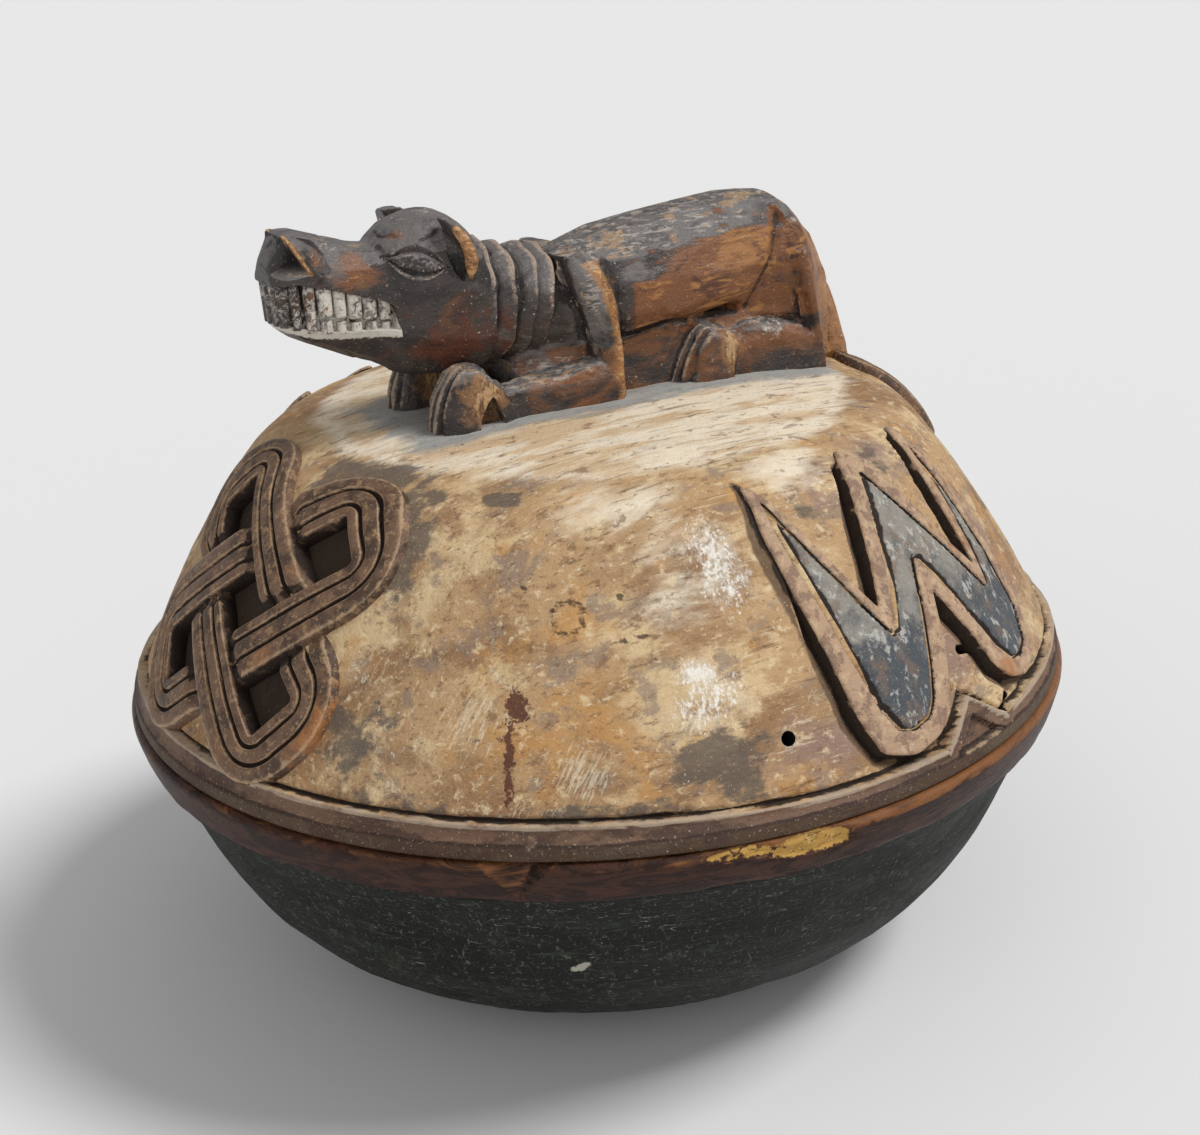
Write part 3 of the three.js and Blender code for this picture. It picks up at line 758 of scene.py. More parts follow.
TRUNK = [
    (-18, [(0, 42), (6, 40), (11, 35), (13.5, 29), (13.5, 21), (11, 15), (7, 13), (0, 12)]),
    (-10, [(0, 45), (6, 43), (12, 38), (15, 31), (15, 22), (12.5, 16), (8, 14), (0, 13)]),
    (5, [(0, 49.5), (7, 47.5), (13.5, 41), (17.5, 32), (17.5, 23), (15.5, 18.3), (9, 16.5), (0, 16)]),
    (20, [(0, 51.3), (8, 49), (14.5, 41.5), (18.2, 33), (18, 24), (16, 19), (10, 17), (0, 16.5)]),
    (36, [(0, 53.2), (8.5, 50.8), (15, 42.2), (18.7, 33), (18.3, 25), (16, 20), (10, 18), (0, 17.5)]),
    (50, [(0, 54), (9, 51.5), (15.8, 43), (19, 33), (18.3, 26), (16, 21.5), (10, 19), (0, 18)]),
    (60, [(0, 53.6), (9, 51.2), (16.5, 43.5), (19, 33), (16, 24), (13, 14), (10, 4), (0, -6)]),
    (70, [(0, 51.2), (9, 49), (16, 42), (18.5, 32), (16, 22), (13, 8), (12, -2), (0, -6)]),
    (78, [(0, 43.8), (8.5, 42.3), (14, 36), (15.5, 28), (14.5, 18), (13, 6), (12, -4), (0, -6)]),
    (84, [(0, 35), (7.5, 33.6), (10.5, 28), (11.5, 21), (11, 13), (10, 4), (9, -5), (0, -7)]),
    (89, [(0, 23.5), (6, 22.5), (7.5, 18), (8, 14), (8, 7), (8, 0), (7, -6), (0, -8)]),
]
trunk = loft("trunk", curved([across_body(x, half) for x, half in TRUNK], 3))
chest = loft("chest", [
    across_body(x, [(0, top), (wide - 2, top - 1), (wide, top * 0.5), (wide, -6), (0, -6)])
    for x, top, wide in ((-27, 18, 9), (-20, 20, 12), (-8, 22, 14), (8, 20, 14))
])
belly = loft("belly", [
    across_body(6, [(0, 16), (13, 16), (14, 2), (13, -6), (0, -6)]),
    across_body(62, [(0, 18), (13, 18), (15.5, 2), (15, -6), (0, -6)]),
])
TAIL = [(74.5, 46, 6), (81.3, 38, 6.5), (86.8, 27.5, 6.5), (90.8, 18, 6.2), (94.8, 7, 6), (99, -9, 6)]
TAIL_OUTLINE = [(-3, -1), (1.5, -0.5), (1.5, 0.5), (-3, 1), (-11, 1), (-11, -1)]
tail_rows = []
for back, up, wide in TAIL:
    tail_rows.append([(back + x, wide * side, PLATEAU + up) for x, side in TAIL_OUTLINE])
tail = loft("tail", curved(tail_rows, 3))
print("trunk, chest, belly and tail lofted")

# %% [markdown]
# Legs and paws are short blocks. Upright limbs are lofted upwards: each row gives the height,
# the front and back edge, the crest between them and how far it stands out. Lying limbs and
# paws are lofted along the body: position, height, outer side and inner side.

# %% Legs and paws


def limb(name, sections):
    """Lofts a limb through sections whose heights count from the plateau."""
    return loft(name, curved(np.array(sections, float) + (0, 0, PLATEAU), 2))


def upright(name, rows):
    """A limb that stands: rows of (up, front, back, crest, out, in)."""
    return limb(name, [[
        (front, -deep, up), (front, -(out - 4), up), (front + (crest - front) * 0.45, -(out - 1.0), up),
        (crest, -out, up), (back - 0.6, -(out - 2.6), up), (back, -(out - 5), up), (back, -deep, up),
    ] for up, front, back, crest, out, deep in rows])


def lying(name, rows):
    """A limb or paw that lies: rows of (x, height, out, in)."""
    return limb(name, [[
        (x, -deep, -FEET_DEPTH), (x, -deep, height - 1.5), (x, -(deep + out) * 0.5, height),
        (x, -(out - 2.0), height - 0.8), (x, -(out - 0.3), height - 3.0), (x, -out, height * 0.4),
        (x, -out - 0.4, -FEET_DEPTH),
    ] for x, height, out, deep in rows])


near_limbs = [
    upright("upper_arm", [
        (45, -12, -3, -8, 16.5, 6), (40, -12.5, 1, -6, 19, 6), (36, -11, 3, -4, 20, 6),
        (31, -9, 4.2, -2, 20.8, 6), (25, -6, 5.2, 1, 21.4, 6), (18, -4, 6, 3.4, 22, 6),
        (11, -2.5, 6.4, 4, 22.2, 6), (-6, -2, 6.6, 4, 22.4, 6),
    ]),
    lying("forearm", [
        (-40, 8, 20, 11), (-31, 10, 20.8, 11), (-18, 11, 21.6, 11), (-6, 12, 22, 11), (3, 12.5, 22.2, 11),
    ]),
    lying("front_paw", [
        (-57, 3, 19, 13), (-55, 8.5, 20.5, 11.5), (-51, 15, 22.5, 10), (-47, 18, 23.2, 9.5),
        (-42, 17, 23.6, 9.5), (-36, 11.5, 23, 10), (-31.5, 5, 21.5, 11),
    ]),
    upright("thigh", [
        (50, 63, 69, 66, 13, 6), (44, 64.5, 73.5, 69, 17.5, 6), (36, 66.8, 76.5, 72, 19.8, 6),
        (28, 69.3, 78, 74, 20.8, 6), (20, 71.2, 78.8, 75.5, 21.2, 6), (9, 73.5, 80, 77, 21.4, 6),
        (-6, 75, 81, 78, 21.4, 6),
    ]),
    lying("shin", [
        (45, 12, 16.5, 8), (50, 14.6, 18.8, 8), (57, 14.8, 20.4, 8), (65, 13, 21, 8),
        (73, 10.5, 21.2, 8), (78, 9, 20.6, 8),
    ]),
    lying("hind_paw", [
        (25.5, 2.5, 17, 11), (28, 8, 19, 10), (33, 14, 21, 9), (37.5, 16, 22, 8.5), (43, 14.5, 22, 8.5),
        (49, 10, 21, 9), (53, 4, 19.5, 10),
    ]),
]
far_limbs = []
for near_limb in near_limbs:
    pick(near_limb)
    bpy.ops.object.duplicate()
    twin = bpy.context.object
    move_points(twin, points_of(twin) * [1, -1, 1])
    bpy.ops.object.mode_set(mode="EDIT")
    bpy.ops.mesh.select_all(action="SELECT")
    bpy.ops.mesh.flip_normals()
    bpy.ops.object.mode_set(mode="OBJECT")
    far_limbs.append(twin)
print("limbs", len(near_limbs) + len(far_limbs))

# %% [markdown]
# Neck: a round bar with carved hoops. Each hoop rises slowly towards the tail and drops
# sharply into a dark groove, which gives the bright line on its rear edge.

# %% Neck with its hoops
HOOP_CRESTS = [-35.4, -28.4, -21.4, -15.7]


def hoop_height(x):
    """How far the neck's hoops stand out at x."""
    height = np.zeros(len(x))
    for crest in HOOP_CRESTS:
        rise = np.clip((x - crest + 5.0) / 5.0, 0, 1) * (x <= crest)
        fall = np.clip(1 - (x - crest) / 1.0, 0, 1) * (x > crest)
        height = np.maximum(height, (rise ** 0.5 + fall) * 2.7)
    return height - 1.4


neck_at = np.arange(-38, -6, 0.4)
swing = np.linspace(0, 2 * math.pi, 120, endpoint=False)
neck_rings = []
for x, height in zip(neck_at, hoop_height(neck_at)):
    shake = noise_at((x * 0.12, math.cos(angle) * 2, math.sin(angle) * 2) for angle in swing)
    girth = 17.6 - 0.09 * (x + 33) + height + 0.7 * shake
    middle = PLATEAU + 31.6 - 0.12 * (x + 33)
    neck_rings.append(np.stack([
        x + 3.4 * np.sin(swing) + 1.3 * shake, girth * np.cos(swing), middle + girth * np.sin(swing),
    ], -1))
neck = loft("neck_hoops", neck_rings)
neck_height = np.repeat(hoop_height(neck_at), len(swing))
print("neck of", len(neck_rings), "rings")

# %% [markdown]
# Head: the skull is a loft that ends in a crisp cheek edge, and the muzzle is a second loft
# that runs into it. Both are kept simple here: mouth, nostrils, eyes and ears are carved
# afterwards, on a mesh that is fine enough to hold them.

# %% Skull and muzzle
SKULL = [
    (-34.2, [(0, 51.0), (8.5, 49), (14.3, 43), (17, 35), (16.4, 25.5), (11, 17.5), (0, 15)]),
    (-36.6, [(0, 55.4), (9, 53), (15.8, 46.5), (18.9, 36.5), (18, 25), (11.6, 16), (0, 13)]),
    (-40.5, [(0, 59), (9.2, 56.6), (16.7, 49.6), (19.8, 39), (18.6, 25.5), (11.8, 15), (0, 12)]),
    (-46, [(0, 61.8), (9, 59.3), (16.9, 51.6), (19.9, 40.5), (18.3, 26), (11.5, 14.8), (0, 11.8)]),
    (-53, [(0, 62.4), (8.4, 59.8), (15.8, 52.4), (18.4, 42), (17.2, 27), (10.7, 15.6), (0, 12.6)]),
    (-60, [(0, 61), (7.2, 58.4), (13.4, 52), (15.2, 42), (14.9, 28), (9.6, 17.2), (0, 14)]),
    (-66, [(0, 56.4), (5.8, 55), (11, 50.5), (12.6, 42), (12.4, 29.5), (8.6, 20.5), (0, 17.6)]),
    (-71, [(0, 54.5), (5, 53), (9, 48), (10.5, 41), (10.4, 31), (7, 24), (0, 21.5)]),
]
MUZZLE = [
    (-62, [(0, 56), (5, 54.8), (9.6, 50), (11, 43), (11, 32), (7.4, 22), (0, 18)]),
    (-69, [(0, 55.6), (5.4, 54.2), (10.4, 49), (11.5, 42), (11.4, 31), (7.8, 21.8), (0, 19)]),
    (-77, [(0, 57.6), (5.8, 55.8), (10.8, 49.5), (11.9, 42.5), (11.6, 32.5), (8, 25), (0, 22.6)]),
    (-84, [(0, 60), (6.6, 58.8), (11, 51), (12.1, 43.5), (11.7, 34.2), (8.2, 28.6), (0, 26)]),
    (-90, [(0, 61.6), (7.4, 61), (11.3, 52.5), (12, 44.5), (11.6, 36), (8.2, 31), (0, 29)]),
    (-94.0, [(0, 60.6), (6.6, 59.8), (10.4, 52), (11, 45), (10.6, 37.8), (7.4, 33.4), (0, 31.4)]),
    (-96.9, [(0, 56.4), (5.4, 55.4), (8.8, 50.4), (9.4, 45), (8.8, 39.4), (5.8, 35.8), (0, 34)]),
    (-98.8, [(0, 52.0), (4.2, 51.0), (6.6, 48.2), (7.2, 45), (6.6, 41), (4.2, 37.6), (0, 36.4)]),
]
skull = loft("skull", curved([across_body(x, half) for x, half in SKULL], 3))
muzzle = loft("muzzle", curved([across_body(x, half) for x, half in MUZZLE], 3))
# The near ear's sections: height, front edge, thickness and reach. The far ear stands forward.
EAR = [(43, -43.2, 1.8, 19.6), (46.5, -44, 3.0, 22.0), (51, -45, 3.5, 23.4), (55.5, -46.5, 3.4, 22.8),
       (59, -48, 2.8, 20.5), (61, -49, 1.8, 17)]
EAR_ROOT = 12
ears = []
for side in (-1, 1):
    rows = []
    for up, front, thick, reach in EAR:
        front -= 7.5 * (side > 0)
        thick += 4.0 * (side > 0)
        outline = ((0, EAR_ROOT), (0, reach - 1), (thick * 0.5, reach), (thick, reach - 1),
                   (thick + 1, EAR_ROOT))
        rows.append([(front + x, side * out, up + PLATEAU) for x, out in outline])
    ears.append(loft("ear", curved(rows, 3)))


def even_mesh(pieces, name, step):
    """Joins pieces into one skin of even small faces."""
    whole = join(pieces)
    whole.name = name
    whole.data.name = name
    skin = whole.modifiers.new("skin", "REMESH")
    skin.mode = "VOXEL"
    skin.voxel_size = step * MM
    pick(whole)
    bpy.ops.object.modifier_apply(modifier=skin.name)
    return whole


body = even_mesh([trunk, chest, belly, tail] + near_limbs + far_limbs, "animal_body", 0.72)
head = even_mesh([skull, muzzle] + ears, "animal_head", 0.44)
print("body", len(body.data.polygons), "head", len(head.data.polygons))

# %% [markdown]
# Knife work: the whole animal is cut back to small flat planes, as a knife or adze leaves it.
# Each spot of a loose grid gets a plane through the wood, and every vertex drops to the lowest
# plane near it. A light averaging then takes the sharpness off, as long handling does.

# %% Small planes of the knife


def spread(piece, values, times):
    """Averages values with their neighbours' values, a number of times."""
    count = len(piece.data.vertices)
    ends = np.empty(len(piece.data.edges) * 2, np.int32)
    piece.data.edges.foreach_get("vertices", ends)
    a, b = ends[0::2], ends[1::2]
    links = np.bincount(a, minlength=count) + np.bincount(b, minlength=count)
    values = np.array(values, float).reshape(count, -1)
    for _ in range(times):
        total = values * 0
        for k in range(values.shape[1]):
            total[:, k] = np.bincount(a, values[b, k], count) + np.bincount(b, values[a, k], count)
        values = 0.5 * values + 0.5 * total / np.maximum(links, 1)[:, None]
    return values


def tool_cuts(piece, cell, depth, seed, stretch):
    """Cuts the surface back to planes of about `cell` millimetres."""
    points = points_of(piece)
    normals = normals_of(piece)
    scaled = points / np.array(stretch) / cell
    order = np.random.default_rng(seed).permutation(len(points))
    turn = np.array(Matrix.Rotation(0.7, 3, "X") @ Matrix.Rotation(0.5, 3, "Z"))
    boxes = np.floor(scaled[order] @ turn.T)
    _, first = np.unique(boxes, axis=0, return_index=True)
    cuts = order[first]
    broad = spread(piece, normals, 12)
    broad /= np.linalg.norm(broad, axis=1)[:, None]
    middle = spread(piece, points, 12)
    move = np.zeros(len(points))
    for part in np.array_split(np.arange(len(points)), len(points) // 3000 + 1):
        gaps = ((scaled[part, None, :] - scaled[cuts][None, :, :]) ** 2).sum(2)
        near = cuts[np.argpartition(gaps, 5, axis=1)[:, :5]]
        facing = (broad[near] * normals[part, None, :]).sum(2)
        reach = ((middle[near] - points[part, None, :]) * broad[near]).sum(2)
        plane = np.where(facing > 0.6, reach / np.maximum(facing, 0.6), depth)
        move[part] = plane.min(1)
    move = np.clip(move, -depth, depth)
    move_points(piece, points + (move - 0.3 * depth)[:, None] * normals)


tool_cuts(body, 9.5, 0.45, 12, (1.7, 1, 1))
tool_cuts(head, 7.5, 0.3, 5, (1.3, 1, 1))
for piece in (body, head):
    move_points(piece, spread(piece, points_of(piece), 3))
print("planes cut")

# %% [markdown]
# Then lines are carved in: the crease of the flank, the edges of the limbs and the folds
# behind the nostril. A line is a groove along a few points seen from the side, pressed in
# where the surface faces that way. A negative depth raises a ridge instead.

# %% Carved lines


def carve_line(piece, line, depth, width):
    """Presses a groove, or raises a ridge, along a line of (x, up) on both sides."""
    points = points_of(piece)
    normals = normals_of(piece)
    gap = gap_to_line(points[:, (0, 2)] - (0, PLATEAU), np.array(line, float), closed=False)
    seen = 0
    for side in (-1, 1):
        seen = seen + smooth_step(0.05, 0.35, normals[:, 1] * side) * (points[:, 1] * side > 2)
    push = depth * np.exp(-(gap / width) ** 2) * seen
    move_points(piece, points - push[:, None] * normals)


carve_line(body, [(66, 47), (63.5, 42), (60.5, 33), (57, 25), (54, 19)], 1.6, 1.6)
carve_line(body, [(67, 36), (70, 27), (72, 18), (74.5, 8), (75, 0)], 0.5, 1.3)
carve_line(body, [(-12.5, 42), (-10.5, 34), (-7.5, 26), (-5.5, 18)], 1.5, 1.5)
carve_line(body, [(3.5, 40), (6.4, 31), (7.6, 22), (8.0, 14)], 1.5, 1.3)
carve_line(head, [(-94.5, 62.5), (-89.5, 60.5), (-85.5, 57.5), (-83.4, 54), (-82.6, 49.6)], 0.9, 0.7)
carve_line(head, [(-94.6, 61.8), (-90.5, 56.5), (-85.6, 49.2)], -0.9, 1.1)
carve_line(head, [(-66, 53), (-64.4, 46), (-63.2, 40), (-62.6, 33)], 0.8, 1.6)
print("lines carved")

# %% [markdown]
# Toes: three or four upright grooves in the front of each paw, with slightly swollen toes
# between them. They follow the surface, so the vertices are moved and nothing is cut out.

# %% Toes
# Each paw: where its front starts and ends, and how far out its grooves lie.
TOES = [(-57.5, -47, (12.6, 16.0, 19.6)), (25, 38, (11.0, 14.0, 17.0, 19.8))]
points = points_of(body)
normals = normals_of(body)
for start, end, grooves in TOES:
    front = (points[:, 0] > start) & (points[:, 0] < end + 2) & (points[:, 2] - PLATEAU < 18.5)
    face = smooth_step(0.0, 0.35, -normals[:, 0]) * front
    face = face * (1 - smooth_step(end - 3, end + 2, points[:, 0]))
    for at in grooves:
        gap = np.abs(np.abs(points[:, 1]) - at)
        points -= ((1.5 * np.exp(-(gap / 0.75) ** 2) - 0.25) * face)[:, None] * normals
move_points(body, points)
print("toes on", len(TOES), "pairs of paws")

# %% [markdown]
# Eyes: an almond with a groove round it and a rounded ball inside. The distance from the
# almond's outline is counted in heights of the eye, so one number shapes groove, ball and lid.

# %% Eyes
EYE_PLACE = (-57.0, 49.4)
EYE_TILT = math.radians(-12.5)
EYE_LONG = 7.9
EYE_HIGH = 3.4


def eye_share(points):
    """0 on the eye's long axis, 1 on its outline, and more outside. Also the place along it."""
    x = points[:, 0] - EYE_PLACE[0]
    z = points[:, 2] - PLATEAU - EYE_PLACE[1]
    run = x * math.cos(EYE_TILT) + z * math.sin(EYE_TILT)
    rise = -x * math.sin(EYE_TILT) + z * math.cos(EYE_TILT)
    height = EYE_HIGH * np.clip(1 - (run / EYE_LONG) ** 2, 0.08, 1)
    share = np.abs(rise) / height + np.clip((np.abs(run) - EYE_LONG) / 1.5, 0, 9)
    return share, rise


points = points_of(head)
normals = normals_of(head)
share, rise = eye_share(points)
on_side = smooth_step(0.2, 0.5, np.abs(normals[:, 1])) * (np.abs(points[:, 1]) > 6)
groove = 1.1 * np.exp(-((share - 0.98) / 0.22) ** 2)
ball = (0.7 + 0.5 * uneven(points, 1.1, 3.0)) * np.clip(1 - share ** 2, 0, 1) - 0.4 * (share < 0.9)
lid_edge = 0.4 * np.exp(-((share - 1.42) / 0.2) ** 2) * np.where(rise < 0, 1.0, 0.3)
points += ((ball + lid_edge - groove) * on_side * (share < 2.5))[:, None] * normals
move_points(head, points)
print("eyes carved")

# %% [markdown]
# The slots under the belly and the arches in the front and hind paws have crisp edges, so each
# is cut with a prism of its outline. An outline is seen from the side, as (x, up), and the
# prism reaches from outside the body to the given distance from its middle.

# %% Slots and arches under the body
SIDE_CUTS = [
    (9.5, [(7.5, 14.4), (7.5, 18.0), (22, 20.0), (35.5, 19.4), (22, 16.6)]),
    (12, [(40.5, 18.4), (47, 20.2), (53.5, 21.2), (47, 19.2)]),
    (20.0, [(43.4, -7), (44, 3), (46, 8.6), (47.4, 9.6), (48.6, 8.0), (50.6, 2), (51, -7)]),
    (19.5, [(-45.6, -7), (-45.0, 2), (-42.4, 7.0), (-40.5, 8.4), (-38.6, 7.0), (-36.6, 1.5), (-36.4, -7)]),
]
for side in (-1, 1):
    for deep, outline in SIDE_CUTS:
        rows = [[(x, side * out, up + PLATEAU) for x, up in outline] for out in (30, deep)]
        cut_away(body, loft("prism", rows))
print("body now has", len(body.data.polygons), "faces")

# %% [markdown]
# The mouth runs right round the muzzle. Its cutter follows a curve seen from above, between
# the two lips seen from the side. Nostrils and ear hollows are lofts that narrow inwards.

# %% Mouth, nostrils and ear hollows
MOUTH_HALF = [(-63.4, 11.3), (-70, 11.6), (-77, 11.9), (-84, 12.1), (-90, 11.9), (-94.6, 10.8),
              (-97.6, 8.8), (-99.1, 6.0), (-99.8, 2.5)]
UPPER_LIP = [(-100, 46.9), (-98, 47.3), (-92.3, 47.5), (-82.4, 44.6), (-75.3, 42.1), (-66.7, 38.9),
             (-63.4, 37.0)]
LOWER_LIP = [(-100, 36.2), (-96.5, 35.8), (-87.3, 33.3), (-76.4, 31.7), (-63.4, 30.7)]
NOSTRIL = [(-94.2, 7.6, 61.0), (-98.6, 6.0, 50.6), (-88.4, 12.0, 49.8)]
EAR_HOLLOW = [(42.8, -44.6, 0.6), (45.5, -45.4, 1.7), (50, -46.7, 2.2), (54.5, -48.2, 2.1), (58.5, -49.8, 1.2)]
mouth = np.array([(x, -y) for x, y in MOUTH_HALF] + MOUTH_HALF[::-1])
mouth_steps = np.r_[0, np.cumsum(np.linalg.norm(np.diff(mouth, axis=0), axis=1))]


def mouth_place(at):
    """A point on the mouth's curve, the way along it and the way out of the mouth there."""
    behind, spot, ahead = (
        np.array([np.interp(at + step, mouth_steps, mouth[:, k]) for k in (0, 1)]) for step in (-1.5, 0, 1.5)
    )
    run = (ahead - behind) / (np.linalg.norm(ahead - behind) + 1e-9)
    return spot, run, np.array((-run[1], run[0]))


rows = []
for at in np.linspace(0, mouth_steps[-1], 90):
    spot, run, out = mouth_place(at)
    high, low = along(UPPER_LIP, spot[0]) + PLATEAU, along(LOWER_LIP, spot[0]) + PLATEAU
    inner, outer = spot - out * 3.4, spot + out * 6
    rows.append([(*inner, low), (*inner, high), (*outer, high + 0.6), (*outer, low - 0.3)])
cut_away(head, loft("mouth", rows))
for side in (-1, 1):
    deep = np.array((-89.6, side * 2.6, 53.6 + PLATEAU))
    skin = np.array([(x, side * y, up + PLATEAU) for x, y, up in NOSTRIL])
    cut_away(head, loft("nostril", [deep + (skin - deep) * 0.1, deep + (skin - deep) * 1.5]))
    lean = -3.7 if side > 0 else -0.2
    swing = np.linspace(0, 2 * math.pi, 10, endpoint=False)
    rows = []
    for up, front, half in EAR_HOLLOW:
        out = 20.4 - 0.12 * (up - 43) + 3.8 * np.sin(swing)
        rows.append(np.stack([front + lean + half * np.cos(swing), side * out, swing * 0 + up + PLATEAU], -1))
    cut_away(head, loft("ear_hollow", rows))
print("head now has", len(head.data.polygons), "faces")

# %% [markdown]
# Teeth: tall narrow pegs in front and small points towards the corners, rubbed with white
# clay. One tooth is a short loft between two heights, set square to the mouth's curve.

# %% Teeth
TOOTH_PITCH = 4.6
FRONT_TEETH = 4
teeth = []
for k in range(-9, 10):
    spot, run, out = mouth_place(mouth_steps[-1] / 2 + k * TOOTH_PITCH)
    high, low = along(UPPER_LIP, spot[0]), along(LOWER_LIP, spot[0])
    spans = [(high + 0.8, low - 0.6, 1.75)]
    if abs(k) > FRONT_TEETH:
        spans = [(high + 0.8, low + (high - low) * 0.36, 2.05), (low - 0.6, low + (high - low) * 0.24, 1.5)]
    for start, end, half_wide in spans:
        rows = []
        for share in (0, 0.25, 0.6, 0.9, 1.0):
            half = run * (half_wide + 0.25 * math.sin(k * 2.3)) * (1 - 0.16 * share)
            back = spot - out * 4.4
            front = spot - out * (0.9 + 0.5 * share * (abs(k) <= FRONT_TEETH))
            outline = (back - half, front - half - out * 0.7, front - half * 0.6,
                       front + half * 0.6, front + half - out * 0.7, back + half)
            up = start + (end - start) * share + PLATEAU
            rows.append([(*corner, up) for corner in outline])
        teeth.append(loft("tooth", rows))
teeth = join(teeth)
teeth.name = "teeth"
teeth.data.name = "teeth"
print("teeth faces", len(teeth.data.polygons))

# %% [markdown]
# Every finish here is old wood under layers: stain, dust, white clay and wear, and with them
# painted shade in grooves and hollows and painted highlights on lit faces. One function builds
# such a material from a list of layers. Each layer has a colour, a roughness and a mask. The
# mask is one of the numbers kept on the mesh, broken up by noise of a real size.

# %% One function that adds a node, and one that stacks layers
SCRATCH_SLANT = math.radians(32)


def linear(text):
    """Turns a written sRGB colour into the linear values that Blender needs."""
    parts = [int(text[k:k + 2], 16) / 255 for k in (1, 3, 5)]
    return tuple(p / 12.92 if p <= 0.04045 else ((p + 0.055) / 1.055) ** 2.4 for p in parts) + (1.0,)


def node(tree, kind, inputs, **settings):
    """Adds a node with its settings, and fills or links its inputs."""
    made = tree.nodes.new(kind)
    for key, value in settings.items():
        setattr(made, key, value)
    for key, value in inputs.items():
        if isinstance(value, bpy.types.NodeSocket):
            tree.links.new(value, made.inputs[key])
        else:
            made.inputs[key].default_value = value
    return made


def layered_wood(name, base, rough, shine, layers, bumps, wavy=0.35):
    """A wood finish: base colour, then layers of (colour, roughness, attribute, size, stretch,
    start, end, amount), with bumps of (size, stretch, height in millimetres). Scratches slant."""
    material = bpy.data.materials.new(name)
    material.use_nodes = True
    tree = material.node_tree
    shader = tree.nodes["Principled BSDF"]
    place = node(tree, "ShaderNodeTexCoord", {}).outputs["Object"]
    spot = node(tree, "ShaderNodeVectorMath", {0: place, "Scale": 1 / MM}, operation="SCALE").outputs[0]
    colour = linear(base)
    gloss = rough
    shader.inputs["Specular IOR Level"].default_value = shine
    for k, (paint, roughness, attribute, size, stretch, start, end, amount) in enumerate(layers):
        slant = SCRATCH_SLANT * (attribute == "scratch")
        where = node(tree, "ShaderNodeMapping", {
            "Vector": spot, "Location": (k * 93, k * 31, -k * 57), "Rotation": (0, slant, 0),
            "Scale": [size * part for part in stretch],
        }, vector_type="TEXTURE")
        pattern = node(tree, "ShaderNodeTexNoise", {
            "Vector": where.outputs[0], "Scale": 1.0, "Detail": 6.0, "Roughness": 0.66, "Distortion": wavy,
        })
        mask = pattern.outputs[0]
        if attribute:
            kept = node(tree, "ShaderNodeAttribute", {}, attribute_name=attribute).outputs["Fac"]
            ragged = node(tree, "ShaderNodeMath", {0: mask, 1: 1.7, 2: -0.85}, operation="MULTIPLY_ADD")
            mask = node(tree, "ShaderNodeMath", {0: kept, 1: ragged.outputs[0]}, operation="ADD").outputs[0]
        mask = node(tree, "ShaderNodeMapRange", {
            "Value": mask, "From Min": start, "From Max": end, "To Max": amount,
        }, interpolation_type="SMOOTHSTEP").outputs[0]
        mixed = node(tree, "ShaderNodeMix", {0: mask, 6: colour, 7: linear(paint)}, data_type="RGBA")
        colour = mixed.outputs[2]
        gloss = node(tree, "ShaderNodeMix", {0: mask, 2: gloss, 3: roughness}).outputs[0]
    tree.links.new(colour, shader.inputs["Base Color"])
    tree.links.new(gloss, shader.inputs["Roughness"])
    under = {}
    for k, (size, stretch, height) in enumerate(bumps):
        where = node(tree, "ShaderNodeMapping", {
            "Vector": spot, "Location": (k * 41, 31, k * 23), "Scale": [size * part for part in stretch],
        }, vector_type="TEXTURE")
        pattern = node(tree, "ShaderNodeTexNoise", {
            "Vector": where.outputs[0], "Scale": 1.0, "Detail": 4.0, "Roughness": 0.6,
        })
        bump = node(tree, "ShaderNodeBump", {
            "Height": pattern.outputs[0], "Distance": height * MM, "Strength": 1.0, **under,
        })
        under = {"Normal": bump.outputs[0]}
    tree.links.new(under["Normal"], shader.inputs["Normal"])
    return material


# %% [markdown]
# Lid finish: hardwood cut with an adze, rubbed again and again with ground camwood and white
# clay, and worn by hands. That gives the eye a dry, patchy, golden to cream surface, grey
# where dust lies and glossier on the ridges. Its grain runs along the animal, so the noise is
# stretched along X. Fibres and specks are drawn coarser than the real ones, to show at all.

